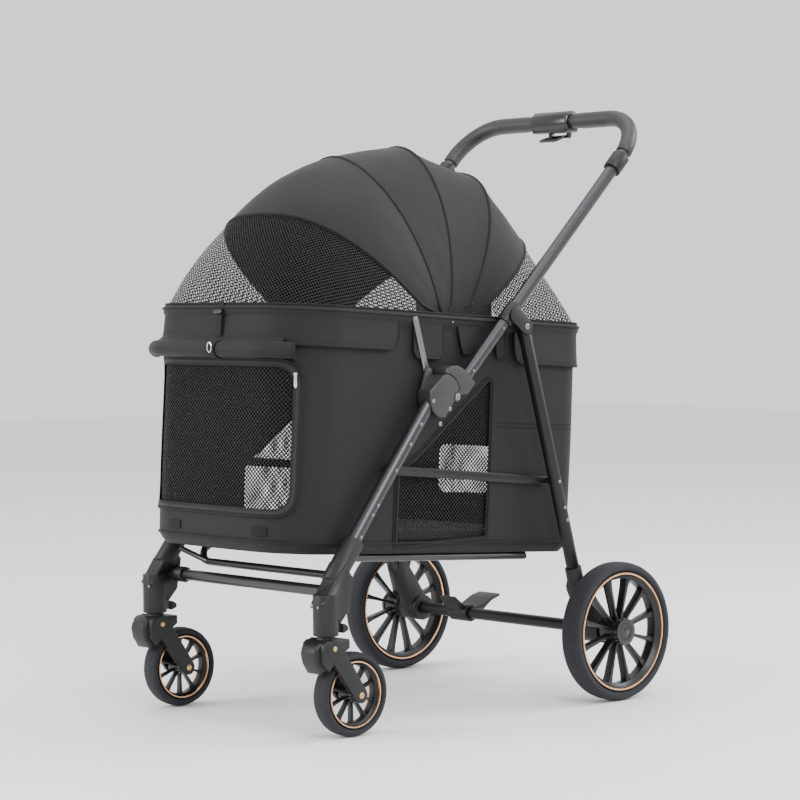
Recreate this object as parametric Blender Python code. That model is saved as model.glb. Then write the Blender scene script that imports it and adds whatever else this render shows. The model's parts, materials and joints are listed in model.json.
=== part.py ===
"""Folding pet stroller: tube frame with hinged knuckles, closed carrier, folding canopy and four wheels.

Metres, +Z up, front towards -Y, left side at +X. Side views are given as (y, z) pairs, and x is a
distance from the middle plane, mirrored for the right side.
"""

import math

import bmesh
import bpy
from mathutils import Matrix, Vector

# Fits
GAP = 0.0004  # between faces that touch
BORE_CLEARANCE = 0.0003  # on the radius, round a fixed tube
PIN_CLEARANCE = 0.0005  # on the radius, round a turning pin
PLAY = 0.0015  # beside a turning part

# Front tubes, from the caster housing up to the knuckle
FRAME_X = 0.220
FRONT_TUBE_RADIUS = 0.0118
TUBE_WALL = 0.0016
FRONT_TUBE_FOOT = (-0.314, 0.301)
FRONT_TUBE_ANGLE = math.radians(52.1)
FRONT_TUBE_DOWN = 0.064
FRONT_TUBE_UP = 0.316

# Upper frame
HINGE = (-0.0875, 0.536)
UPPER_TUBE_RADIUS = 0.0112
UPPER_TUBE_ANGLE = math.radians(44.3)
UPPER_TUBE_START = 0.023
UPPER_TUBE_END = 0.568
COLLAR_LENGTH = 0.034
COLLAR_WALL = 0.0048
HANDLE_RISE = math.radians(50.4)
HANDLE_REACH = 0.093
HANDLE_CORNER = 0.086
GRIP_WALL = 0.0030
GRIP_SIDES = 12
TRIGGER_HALF_WIDTH = 0.046
TRIGGER_WALL = 0.0085

# Knuckle
KNUCKLE_HALF_WIDTH = 0.0162
KNUCKLE_ARC_CENTRE = (-0.115, 0.541)
KNUCKLE_ARC_RADIUS = 0.034
BARREL_RADIUS = 0.008
BARREL_HALF_WIDTH = 0.006

# Rear legs and axle
LEG_PIVOT = (0.0745, 0.650)
LEG_X = 0.2285
LEG_RADIUS = 0.0114
LEG_ANGLE = math.radians(-74.2)
LEG_TUBE_START = 0.017
LEG_TUBE_END = 0.470
EYE_RADIUS = 0.0105
EYE_HALF_WIDTH = 0.007
CHEEK_THICKNESS = 0.003
CHEEK_RADIUS = 0.013
BRACKET_HALF_LENGTH = 0.020
BRACKET_WALL = 0.0028
AXLE_TUBE_RADIUS = 0.0105
FOOT_BOSS_RADIUS = 0.024

# Wheels: (y, z) of the axle, tyre radius, half width and rim sizes
REAR_WHEEL = {"x": 0.278, "y": 0.2485, "radius": 0.120, "half_width": 0.021, "bead": 0.1035,
              "rim_depth": 0.0125, "hub": 0.022, "hub_half": 0.024, "axle": 0.006, "spokes": 12,
              "spoke": 0.008, "sides": 28}
FRONT_WHEEL = {"x": 0.223, "y": -0.3195, "radius": 0.068, "half_width": 0.0165, "bead": 0.0550,
               "rim_depth": 0.0080, "hub": 0.012, "hub_half": 0.0165, "axle": 0.004, "spokes": 10,
               "spoke": 0.0055, "sides": 20}

# Casters
SWIVEL_Y = -0.370
HOUSING_BOTTOM = 0.1665
HOUSING_TOP = 0.232
HOUSING_RADIUS = 0.0205
SOCKET_WALL = 0.0058
SOCKET_END = 0.014
STEM_RADIUS = 0.008
STEM_TOP = 0.205
FORK_TOP = 0.1605
FORK_ARM = 0.008
NOSE_HALF_WIDTH = 0.019
FORK_ARM_TOP = (-0.3755, 0.1475)
LOCK_HINGE = (-0.3445, 0.1765)

# Cross tubes
CROSSBAR = (-0.335, 0.231)
CROSSBAR_RADIUS = 0.0095
CROSSBAR_BOSS = 0.0135
CRADLE_FRONT = (-0.307, 0.253)
CRADLE_X = 0.178
CRADLE_RADIUS = 0.0065
CRADLE_CORNER = 0.025
CRADLE_LUG_RADIUS = 0.005
CRADLE_END = 0.150

# Braces between the front tubes and the rear legs
BRACE_FRONT = (-0.2215, 0.4209)
BRACE_REAR_DOWN = 0.2775
BRACE_HEIGHT = 0.015
SIDE_PLATE_X = 0.2042
SIDE_PLATE = 0.003

# Carrier, in its own frame: x, length along the rim, height above the rim
CARRIER_CENTRE = (-0.0745, 0.6643)
CARRIER_TILT = math.radians(3.7)
CARRIER_HALF_LENGTH = 0.332
CARRIER_HALF_WIDTH = 0.1975
CARRIER_DEPTH = 0.389
CARRIER_WALL = 0.005
CARRIER_FLOOR = 0.008
FRONT_CORNER = 0.090
REAR_CORNER = 0.042
FRONT_BULGE = 0.012
RAIL_RADIUS = 0.0055
PAD_HEIGHT = 0.030
FLAP_ROLL_RADIUS = 0.014
FLAP_ROLL_DROP = 0.066
FLAP_ROLL_SPREAD = 0.176  # how far along the front the roll runs to each side
FLAP_ROLL_STANDOFF = 0.0175

# Canopy
CANOPY_PIVOT = (-0.072, 0.664)
BOW_RADIUS = 0.0021
BOW_PITCH = 0.0046
BOW_FOOT_HEIGHT = 0.684
BOW_SPREAD = 0.003
BOW_PIN_RADIUS = 0.0025
BOW_EYE_RADIUS = 0.0075
SHEET = 0.0016
OUTER_EYE_X = 0.1885
# Each bow's lean from +Y in degrees, its height along that lean, its fullness and its feet's y
BOWS = {"bow_front": (140.3, 0.2468, 2.59, -0.1197), "bow_crown_front": (105.4, 0.2647, 1.85, -0.0810),
        "bow_crown": (80.4, 0.2804, 1.81, -0.0510), "bow_rear_crown": (59.7, 0.2713, 2.13, -0.0034),
        "bow_rear": (33.5, 0.2320, 2.26, 0.0393)}
PANEL_BULGES = (0.016, 0.002, -0.003, 0.001)

# Brake pedal
PEDAL_RANGE_X = (-0.128, -0.082)
PEDAL_WALL = 0.0055


def make_material(name, colour, roughness, metallic=0.0):
    material = bpy.data.materials.new(name)
    material.use_nodes = True
    shader = material.node_tree.nodes["Principled BSDF"]
    shader.inputs["Base Color"].default_value = (*colour, 1.0)
    shader.inputs["Roughness"].default_value = roughness
    shader.inputs["Metallic"].default_value = metallic
    return material


def side_point(pair, x):
    return Vector((x, pair[0], pair[1]))


def along(pair, angle, distance):
    """The point at a distance from a (y, z) pair, in a direction measured up from +Y."""
    return (pair[0] + distance * math.cos(angle), pair[1] + distance * math.sin(angle))


# Mesh builders: each returns a bmesh in world coordinates


def skin_rings(rings, closed_path=False):
    """Joins equal rings of points into one closed skin."""
    bm = bmesh.new()
    loops = [[bm.verts.new(point) for point in ring] for ring in rings]
    pairs = list(zip(loops, loops[1:]))
    if closed_path:
        pairs.append((loops[-1], loops[0]))
    for first, second in pairs:
        for i in range(len(first)):
            j = (i + 1) % len(first)
            bm.faces.new((first[i], first[j], second[j], second[i]))
    if not closed_path:
        bm.faces.new(list(reversed(loops[0])))
        bm.faces.new(loops[-1])
    bmesh.ops.recalc_face_normals(bm, faces=bm.faces)
    return bm


def path_frames(points, closed_path=False):
    """Side vectors that turn with the path and don't twist along it."""
    count = len(points)
    frames = []
    normal = None
    for i, point in enumerate(points):
        before = points[i - 1] if i or closed_path else points[0] * 2 - points[1]
        after = points[(i + 1) % count] if i < count - 1 or closed_path else point * 2 - points[i - 1]
        direction = ((point - before).normalized() + (after - point).normalized()).normalized()
        if normal is None:
            guide = Vector((1, 0, 0)) if abs(direction.x) < 0.9 else Vector((0, 0, 1))
            normal = direction.cross(guide).normalized()
        normal = (normal - direction * normal.dot(direction)).normalized()
        frames.append((normal.copy(), direction.cross(normal)))
    return frames


def swept(points, radius, inner=0.0, sides=10, closed_path=False):
    """A round bar along a path, or a tube where inner is its bore's radius."""
    points = [Vector(point) for point in points]
    frames = path_frames(points, closed_path)
    turn = [2 * math.pi * i / sides for i in range(sides)]

    def ring(centre, frame, size):
        return [centre + size * (math.cos(a) * frame[0] + math.sin(a) * frame[1]) for a in turn]

    outside = [ring(point, frame, radius) for point, frame in zip(points, frames)]
    if not inner:
        return skin_rings(outside, closed_path)
    inside = [ring(point, frame, inner) for point, frame in zip(points, frames)]
    return skin_rings(outside + inside[::-1], closed_path=True)


def turned(profile, centre, sides):
    """A ring turned round an X axis from a closed profile of (radius, distance along the axis)."""
    rings = []
    for i in range(sides):
        angle = 2 * math.pi * (i + 0.5) / sides - math.pi / 2
        rings.append([Vector((offset, radius * math.cos(angle), radius * math.sin(angle))) + centre
                      for radius, offset in profile])
    return skin_rings(rings, closed_path=True)


def cylinder(start, end, radius, sides=12):
    return swept([start, end], radius, sides=sides)


def plate(outline, x_from, x_to, chamfer=0.0):
    """A side outline of (y, z) pairs extruded along X, with its edges chamfered."""
    low, high = min(x_from, x_to), max(x_from, x_to)
    if not chamfer:
        return skin_rings([[side_point(pair, x) for pair in outline] for x in (low, high)])
    inner = inset(outline, chamfer)
    rings = [(inner, low), (outline, low + chamfer), (outline, high - chamfer), (inner, high)]
    return skin_rings([[side_point(pair, x) for pair in pairs] for pairs, x in rings])


def inset(outline, distance):
    """The outline moved inwards by a distance, corner by corner."""
    count = len(outline)
    area = sum(outline[i - 1][0] * outline[i][1] - outline[i][0] * outline[i - 1][1] for i in range(count))
    sign = 1 if area > 0 else -1
    moved = []
    for i, (y, z) in enumerate(outline):
        before = Vector((y - outline[i - 1][0], z - outline[i - 1][1])).normalized()
        after = Vector((outline[(i + 1) % count][0] - y, outline[(i + 1) % count][1] - z)).normalized()
        normal_a = Vector((-before.y, before.x)) * sign
        normal_b = Vector((-after.y, after.x)) * sign
        corner = (normal_a + normal_b).normalized()
        reach = distance / max(corner.dot(normal_a), 0.5)
        moved.append((y + corner.x * reach, z + corner.y * reach))
    return moved


def capsule(first, second, radius_a, radius_b, steps=6):
    """The outline round two circles of the side view, joined by straight edges."""
    angle = math.atan2(second[1] - first[1], second[0] - first[0])
    half_turn = [math.pi / 2 + math.pi * i / steps for i in range(steps + 1)]
    start = [along(first, angle + turn, radius_a) for turn in half_turn]
    end = [along(second, angle + turn + math.pi, radius_b) for turn in half_turn]
    return start + end


def box(low, high):
    return plate([(low[1], low[2]), (high[1], low[2]), (high[1], high[2]), (low[1], high[2])], low[0], high[0])


def sheet(rows, thickness):
    """A thin closed sheet through a grid of points."""
    height, width = len(rows), len(rows[0])
    normals = []
    for i in range(height):
        line = []
        for j in range(width):
            down = rows[min(i + 1, height - 1)][j] - rows[max(i - 1, 0)][j]
            across = rows[i][min(j + 1, width - 1)] - rows[i][max(j - 1, 0)]
            line.append(down.cross(across).normalized() * thickness / 2)
        normals.append(line)
    bm = bmesh.new()
    sides = []
    for sign in (1, -1):
        sides.append([[bm.verts.new(rows[i][j] + sign * normals[i][j]) for j in range(width)]
                      for i in range(height)])
    for grid in sides:
        for i in range(height - 1):
            for j in range(width - 1):
                bm.faces.new((grid[i][j], grid[i][j + 1], grid[i + 1][j + 1], grid[i + 1][j]))
    edge = [(0, j) for j in range(width)] + [(i, width - 1) for i in range(1, height)]
    edge += [(height - 1, j) for j in range(width - 2, -1, -1)] + [(i, 0) for i in range(height - 2, 0, -1)]
    front, back = sides
    for (a, b), (c, d) in zip(edge, edge[1:] + edge[:1]):
        bm.faces.new((front[a][b], front[c][d], back[c][d], back[a][b]))
    bmesh.ops.recalc_face_normals(bm, faces=bm.faces)
    return bm


def temporary(bm):
    mesh = bpy.data.meshes.new("shape")
    bm.to_mesh(mesh)
    bm.free()
    item = bpy.data.objects.new("shape", mesh)
    bpy.context.collection.objects.link(item)
    return item


def combined(base, added=(), removed=()):
    """The base with shapes joined to it and then others cut out of it."""
    item = temporary(base)
    for shapes, operation in ((added, "UNION"), (removed, "DIFFERENCE")):
        for shape in shapes:
            tool = temporary(shape)
            modifier = item.modifiers.new(operation, "BOOLEAN")
            modifier.object = tool
            modifier.operation = operation
            evaluated = item.evaluated_get(bpy.context.evaluated_depsgraph_get())
            mesh = bpy.data.meshes.new_from_object(evaluated)
            item.modifiers.clear()
            item.data = mesh
            bpy.data.objects.remove(tool)
    result = bmesh.new()
    result.from_mesh(item.data)
    bpy.data.objects.remove(item)
    return result


# Bodies: each moving group hangs from an empty on its joint's axis

bodies = {}


def add_body(name, place=(0, 0, 0), parent=None):
    empty = bpy.data.objects.new(name, None)
    bpy.context.collection.objects.link(empty)
    empty.parent = bodies[parent] if parent else None
    empty["place"] = tuple(place)
    empty.location = Vector(place) - (Vector(empty.parent["place"]) if parent else Vector())
    bodies[name] = empty


def add_node(name, bm, material, body):
    """One named solid, hung from its body's empty."""
    empty = bodies[body]
    bm.transform(Matrix.Translation(-Vector(empty["place"])))
    mesh = bpy.data.meshes.new(name)
    bm.to_mesh(mesh)
    bm.free()
    mesh.materials.append(material)
    mesh.shade_smooth()
    mesh.set_sharp_from_angle(angle=math.radians(40))
    item = bpy.data.objects.new(name, mesh)
    bpy.context.collection.objects.link(item)
    item.parent = empty


SIDES = (("left", 1), ("right", -1))


# Frame


def front_axis(distance):
    return along(FRONT_TUBE_FOOT, FRONT_TUBE_ANGLE, distance)


def upper_axis(distance):
    return along(HINGE, UPPER_TUBE_ANGLE, distance)


def leg_axis(distance):
    return along(LEG_PIVOT, LEG_ANGLE, distance)


def straight_tube(axis, start, end, x, radius):
    ends = [side_point(axis(distance), x) for distance in (start, end)]
    return swept(ends, radius, radius - TUBE_WALL, sides=12)


def bore(axis, start, end, x, radius):
    ends = [side_point(axis(distance), x) for distance in (start, end)]
    return cylinder(*ends, radius + BORE_CLEARANCE)


def arc_points(centre, radius, first, last, steps):
    angles = [math.radians(first + (last - first) * i / steps) for i in range(steps + 1)]
    return [along(centre, angle, radius) for angle in angles]


def knuckle_lower(side):
    """The hinge half round the front tube, with the middle barrel and the rail link's lug."""
    middle = side * FRAME_X
    arc = arc_points(KNUCKLE_ARC_CENTRE, KNUCKLE_ARC_RADIUS, 14, 88, 5)
    outline = [HINGE] + arc
    outline += [(-0.1490, 0.5480), (-0.1490, 0.5310), (-0.1420, 0.5140), (-0.1290, 0.5030),
                (-0.1150, 0.5030), (-0.1015, 0.5200)]
    body = plate(outline, middle - KNUCKLE_HALF_WIDTH, middle + KNUCKLE_HALF_WIDTH, 0.002)
    lug_centre = RAIL_LINK_LOWER
    lug = plate(capsule(lug_centre, (-0.135, 0.548), 0.0085, 0.012), side * LUG_X, side * (LUG_X + 0.004))
    barrel = cylinder(side_point(HINGE, middle - BARREL_HALF_WIDTH), side_point(HINGE, middle + BARREL_HALF_WIDTH),
                      BARREL_RADIUS)
    wide = KNUCKLE_HALF_WIDTH + 0.002
    notches = []
    for direction in (-1, 1):
        near = middle + direction * (BARREL_HALF_WIDTH)
        far = middle + direction * wide
        notches.append(cylinder(side_point(HINGE, near), side_point(HINGE, far), BARREL_RADIUS + PLAY / 2))
    hole = bore(front_axis, 0.0, FRONT_TUBE_UP + 0.001, middle, FRONT_TUBE_RADIUS)
    return combined(combined(body, (lug,), notches), (barrel,), (hole,))


def knuckle_upper(side):
    """The hinge half round the upper tube, with the two outer barrels."""
    middle = side * FRAME_X
    arc = arc_points(KNUCKLE_ARC_CENTRE, KNUCKLE_ARC_RADIUS + 2 * GAP, 88, 12, 5)
    nose = upper_axis(UPPER_TUBE_START + 0.023)
    wall = UPPER_TUBE_RADIUS + 0.0032
    across = UPPER_TUBE_ANGLE - math.pi / 2
    lower_corner = along(nose, across, wall)
    upper_corner = along(nose, across, -wall)
    back = along(upper_axis(UPPER_TUBE_START - 0.004), across, wall)
    outline = [along(HINGE, math.radians(50), 0.004)] + list(reversed(arc))
    outline += [(-0.1120, 0.5830), (-0.1000, 0.5870), (-0.0850, 0.5880), upper_corner, lower_corner, back]
    body = plate(outline, middle - KNUCKLE_HALF_WIDTH, middle + KNUCKLE_HALF_WIDTH, 0.002)
    barrels = []
    for direction in (-1, 1):
        near = middle + direction * (BARREL_HALF_WIDTH + GAP)
        far = middle + direction * (KNUCKLE_HALF_WIDTH - 0.0015)
        barrels.append(cylinder(side_point(HINGE, near), side_point(HINGE, far), BARREL_RADIUS))
    half = BARREL_HALF_WIDTH + GAP
    notch = cylinder(side_point(HINGE, middle - half), side_point(HINGE, middle + half), BARREL_RADIUS + PLAY / 2)
    hole = bore(upper_axis, UPPER_TUBE_START - 0.0005, 0.1, middle, UPPER_TUBE_RADIUS)
    return combined(body, barrels, (notch, hole))


def leg_bracket(side):
    """A sleeve on the upper tube with two cheeks and the pin for the rear leg's eye."""
    middle, eye = side * FRAME_X, side * LEG_X
    foot = BRACKET_ALONG
    ends = [side_point(upper_axis(foot + step * BRACKET_HALF_LENGTH), middle) for step in (-1, 1)]
    sleeve = cylinder(*ends, UPPER_TUBE_RADIUS + BRACKET_WALL)
    outline = capsule(upper_axis(foot), LEG_PIVOT, 0.014, CHEEK_RADIUS)
    shapes = []
    for direction in (-1, 1):
        near = eye + direction * (EYE_HALF_WIDTH + GAP)
        shapes.append(plate(outline, near, near + direction * CHEEK_THICKNESS))
    reach = EYE_HALF_WIDTH + GAP + CHEEK_THICKNESS / 2
    pin = cylinder(side_point(LEG_PIVOT, eye - reach), side_point(LEG_PIVOT, eye + reach), 0.004)
    hole = bore(upper_axis, foot - 0.06, foot + 0.06, middle, UPPER_TUBE_RADIUS)
    return combined(sleeve, shapes + [pin], (hole,))


def rear_leg(side):
    """The leg's tube with a plug and the eye that turns on the bracket's pin."""
    middle = side * LEG_X
    tube = straight_tube(leg_axis, LEG_TUBE_START, LEG_TUBE_END, middle, LEG_RADIUS)
    plug_ends = [side_point(leg_axis(distance), middle) for distance in (CHEEK_RADIUS + PLAY, 0.034)]
    plug = cylinder(*plug_ends, LEG_RADIUS - TUBE_WALL / 2)
    eye = plate(capsule(LEG_PIVOT, leg_axis(0.022), EYE_RADIUS, EYE_RADIUS),
                middle - EYE_HALF_WIDTH, middle + EYE_HALF_WIDTH)
    reach = EYE_HALF_WIDTH + 0.002
    hole = cylinder(side_point(LEG_PIVOT, middle - reach), side_point(LEG_PIVOT, middle + reach), 0.004 + PIN_CLEARANCE)
    return combined(tube, (plug, eye), (hole,))


def rear_foot(side):
    """The moulded foot: leg socket, axle boss and the stub axle for the wheel."""
    wheel = REAR_WHEEL
    axle = (wheel["y"], wheel["radius"])
    inner_x = side * (LEG_X - 0.0185)
    outer_x = side * (wheel["x"] - wheel["hub_half"] - PLAY)
    socket_top = LEG_TUBE_END - 0.035
    socket = cylinder(side_point(leg_axis(socket_top), side * LEG_X),
                      side_point(leg_axis(LEG_TUBE_END + 0.012), side * LEG_X), LEG_RADIUS + 0.0035)
    web = plate(capsule(leg_axis(LEG_TUBE_END), axle, 0.0155, FOOT_BOSS_RADIUS - 0.003),
                side * (LEG_X - 0.0135), side * (LEG_X + 0.0135), 0.002)
    boss = cylinder(side_point(axle, inner_x), side_point(axle, outer_x), FOOT_BOSS_RADIUS, sides=16)
    stub = cylinder(side_point(axle, outer_x - side * 0.004),
                    side_point(axle, side * (wheel["x"] + wheel["hub_half"] - 0.001)), wheel["axle"])
    leg_hole = bore(leg_axis, 0.1, LEG_TUBE_END + GAP, side * LEG_X, LEG_RADIUS)
    axle_hole = cylinder(side_point(axle, side * 0.1), side_point(axle, side * AXLE_TUBE_HALF + side * GAP),
                         AXLE_TUBE_RADIUS + BORE_CLEARANCE)
    return combined(socket, (web, boss, stub), (leg_hole, axle_hole))


def caster_housing(side):
    """Swivel barrel, front tube socket and crossbar boss in one moulding."""
    middle = side * FRONT_WHEEL["x"]
    barrel = cylinder((middle, SWIVEL_Y, HOUSING_BOTTOM), (middle, SWIVEL_Y, HOUSING_TOP), HOUSING_RADIUS, sides=16)
    shoulder = plate([(-0.3880, 0.2180), (-0.3620, 0.2560), (-0.3400, 0.2760), (-0.3240, 0.2560),
                      (-0.3330, 0.2050), (-0.3520, 0.1850)], middle - 0.017, middle + 0.017, 0.002)
    socket = cylinder(side_point(front_axis(-0.066), side * FRAME_X), side_point(front_axis(SOCKET_END), side * FRAME_X),
                      FRONT_TUBE_RADIUS + SOCKET_WALL)
    boss = cylinder(side_point(CROSSBAR, middle), side_point(CROSSBAR, side * (CROSSBAR_HALF - 0.020)),
                    CROSSBAR_BOSS)
    stem_hole = cylinder((middle, SWIVEL_Y, HOUSING_BOTTOM - 0.01), (middle, SWIVEL_Y, STEM_TOP + PLAY),
                         STEM_RADIUS + PIN_CLEARANCE)
    tube_hole = bore(front_axis, -FRONT_TUBE_DOWN - GAP, 0.1, side * FRAME_X, FRONT_TUBE_RADIUS)
    bar_hole = cylinder(side_point(CROSSBAR, 0), side_point(CROSSBAR, side * (CROSSBAR_HALF + GAP)),
                        CROSSBAR_RADIUS + BORE_CLEARANCE)
    return combined(barrel, (shoulder, socket, boss), (stem_hole, tube_hole, bar_hole))


def caster_fork(side):
    """Crown with a stem, two arms and the wheel's axle."""
    wheel = FRONT_WHEEL
    middle = side * wheel["x"]
    axle = (wheel["y"], wheel["radius"])
    outer = wheel["half_width"] + 0.0025 + FORK_ARM
    inner = outer - FORK_ARM
    crown = plate([(-0.3420, FORK_TOP), (-0.3890, FORK_TOP), (-0.3960, 0.1560), (-0.3990, 0.1450),
                   (-0.3980, 0.1250), (-0.3850, 0.1125), (-0.3640, 0.1335), (-0.3420, 0.1465)],
                  middle - outer, middle + outer, 0.0015)
    nose = plate([(-0.3850, 0.1590), (-0.3980, 0.1570), (-0.4070, 0.1500), (-0.4095, 0.1400), (-0.4060, 0.1250),
                  (-0.3950, 0.1080), (-0.3850, 0.1130)], middle - NOSE_HALF_WIDTH, middle + NOSE_HALF_WIDTH, 0.003)
    collar = cylinder((middle, SWIVEL_Y, FORK_TOP - 0.002), (middle, SWIVEL_Y, HOUSING_BOTTOM - GAP), 0.015)
    stem = cylinder((middle, SWIVEL_Y, FORK_TOP), (middle, SWIVEL_Y, STEM_TOP), STEM_RADIUS)
    arms = []
    for direction in (-1, 1):
        arms.append(plate(capsule(FORK_ARM_TOP, axle, 0.0150, 0.0130),
                          middle + direction * inner, middle + direction * (outer + 0.0012), 0.001))
    reach = inner + FORK_ARM / 2
    pin = cylinder(side_point(axle, middle - reach), side_point(axle, middle + reach), wheel["axle"], sides=12)
    return combined(crown, [nose, collar, stem] + arms + [pin])


def swivel_lock(side):
    """A small tab that lifts from behind the housing."""
    middle = side * FRONT_WHEEL["x"]
    y, z = LOCK_HINGE
    outline = [(y + 0.0030, z + 0.0065), (y + 0.0075, z + 0.0065), (y + 0.0145, z + 0.0020),
               (y + 0.0150, z - 0.0045), (y + 0.0060, z - 0.0080), (y + 0.0030, z - 0.0080)]
    return plate(outline, middle - 0.009, middle + 0.009, 0.0006)


# Wheels


def wheel_rim(wheel, side):
    """Rim band, hub and blade spokes, bored for the axle."""
    centre = Vector((side * wheel["x"], wheel["y"], wheel["radius"]))
    outer = wheel["bead"] - GAP
    inner = outer - wheel["rim_depth"]
    half = wheel["half_width"] * 0.80
    band = turned([(outer, -half), (outer, half), (inner, half * 0.92), (inner, -half * 0.92)],
                  centre, wheel["sides"])
    hub = turned([(wheel["hub"], -wheel["hub_half"]), (wheel["hub"], wheel["hub_half"]),
                  (wheel["axle"] + PIN_CLEARANCE, wheel["hub_half"]),
                  (wheel["axle"] + PIN_CLEARANCE, -wheel["hub_half"])], centre, 12)
    spokes = []
    for i in range(wheel["spokes"]):
        blade = box((-half * 0.78, wheel["hub"] - 0.003, -wheel["spoke"] / 2),
                    (half * 0.78, inner + 0.003, wheel["spoke"] / 2))
        blade.transform(Matrix.Translation(centre) @ Matrix.Rotation(2 * math.pi * i / wheel["spokes"], 4, "X"))
        spokes.append(blade)
    return combined(band, spokes + [hub])


def wheel_tyre(wheel, side):
    """A tyre whose turned faces leave one flat facet straight down."""
    centre = Vector((side * wheel["x"], wheel["y"], wheel["radius"]))
    tread = wheel["radius"] / math.cos(math.pi / wheel["sides"])
    half = wheel["half_width"]
    wall = tread - 0.45 * half
    profile = [(wheel["bead"], -half * 0.84), (wall, -half), (tread, -half * 0.45), (tread, half * 0.45),
               (wall, half), (wheel["bead"], half * 0.84)]
    return turned(profile, centre, wheel["sides"])


# Carrier


def carrier_point(x, y, z):
    """A point of the carrier's own frame in world coordinates: it leans down towards the rear."""
    cosine, sine = math.cos(CARRIER_TILT), math.sin(CARRIER_TILT)
    return Vector((x, CARRIER_CENTRE[0] + y * cosine + z * sine, CARRIER_CENTRE[1] - y * sine + z * cosine))


def carrier_outline(offset=0.0, front_steps=5, rear_steps=3):
    """The plan of the carrier: round front corners, a bulging front and tight rear corners."""
    half_width = CARRIER_HALF_WIDTH + offset
    half_length = CARRIER_HALF_LENGTH + offset
    points = []
    corners = ((1, 1, REAR_CORNER, 0, rear_steps), (-1, 1, REAR_CORNER, 90, rear_steps),
               (-1, -1, FRONT_CORNER, 180, front_steps), (1, -1, FRONT_CORNER, 270, front_steps))
    for x_side, y_side, corner, start, steps in corners:
        radius = max(corner + offset, 0.004)
        for i in range(steps + 1):
            angle = math.radians(start + 90 * i / steps)
            x = x_side * (half_width - radius) + radius * math.cos(angle)
            y = y_side * (half_length - radius) + radius * math.sin(angle)
            if y_side < 0:
                y += FRONT_BULGE * (x / half_width) ** 2
            points.append((x, y))
    return points


def carrier_ring(offset, height, **steps):
    return [carrier_point(x, y, height) for x, y in carrier_outline(offset, **steps)]


def carrier_shell():
    top = -RAIL_RADIUS - GAP
    levels = [(-0.014, -CARRIER_DEPTH), (-0.004, -CARRIER_DEPTH + 0.006), (0.0, -CARRIER_DEPTH + 0.020), (0.0, top)]
    levels += [(-CARRIER_WALL, top), (-CARRIER_WALL, -CARRIER_DEPTH + 0.022),
               (-CARRIER_WALL - 0.012, -CARRIER_DEPTH + CARRIER_FLOOR)]
    return skin_rings([carrier_ring(offset, height) for offset, height in levels])


def floor_pad():
    bottom = -CARRIER_DEPTH + CARRIER_FLOOR + 2 * GAP
    inside = -CARRIER_WALL - 0.014
    levels = [(inside - 0.006, bottom), (inside, bottom + 0.012), (inside, bottom + PAD_HEIGHT - 0.010),
              (inside - 0.008, bottom + PAD_HEIGHT)]
    return skin_rings([carrier_ring(offset, height, front_steps=3, rear_steps=2) for offset, height in levels])


def rim_rail():
    """The round rail that the carrier hangs from, with link tabs and canopy pins."""
    rail = swept(carrier_ring(0.001, 0.0), RAIL_RADIUS, sides=8, closed_path=True)
    shapes = []
    for _, side in SIDES:
        pin_start = side_point(CANOPY_PIVOT, side * (OUTER_EYE_X - 4 * BOW_PITCH - 0.0045))
        pin_end = side_point(CANOPY_PIVOT, side * CARRIER_HALF_WIDTH)
        shapes.append(cylinder(pin_start, pin_end, BOW_PIN_RADIUS, sides=10))
        shapes.append(plate(capsule(RAIL_LINK_UPPER, (RAIL_LINK_UPPER[0] - 0.014, RAIL_LINK_UPPER[1] + 0.001),
                                    0.0060, 0.0050, 4), side * 0.1985, side * (SIDE_PLATE_X - GAP)))
    return combined(rail, shapes)


def window_flap_roll():
    """The rolled window flap, which follows the front wall round both corners."""
    front = [point for point in carrier_ring(FLAP_ROLL_STANDOFF, -FLAP_ROLL_DROP, front_steps=9)
             if point.y < CARRIER_CENTRE[0] and abs(point.x) < FLAP_ROLL_SPREAD]
    front.sort(key=lambda point: point.x)
    return swept(front, FLAP_ROLL_RADIUS, sides=12)


def rear_pouch():
    """The storage pocket, flaring away from the rear wall towards its lower edge."""
    top = carrier_point(0, CARRIER_HALF_LENGTH + 0.001, -0.145)
    bottom = carrier_point(0, CARRIER_HALF_LENGTH + 0.001, -0.375)
    outline = [(bottom.y, bottom.z), (0.2780, 0.2700), (0.2825, 0.3180), (0.2910, 0.3300), (0.2830, 0.3450),
               (0.2690, 0.4500), (top.y + 0.004, top.z), (top.y, top.z)]
    half = CARRIER_HALF_WIDTH - REAR_CORNER
    return plate(outline, -half, half, 0.0005)


# Canopy


def eye_x(name):
    return OUTER_EYE_X - list(BOWS).index(name) * BOW_PITCH


def bow_point(name, turn):
    """A point of a bow: turn runs from 0 at the left foot over the top to pi at the right foot."""
    degrees, height, fullness, foot_y = BOWS[name]
    power = 2 / fullness
    x = math.copysign(abs(math.cos(turn)) ** power, math.cos(turn)) * (eye_x(name) + BOW_SPREAD)
    reach = abs(math.sin(turn)) ** power * height
    y, z = along((foot_y, BOW_FOOT_HEIGHT), math.radians(degrees), reach)
    return Vector((x, y, z))


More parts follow.
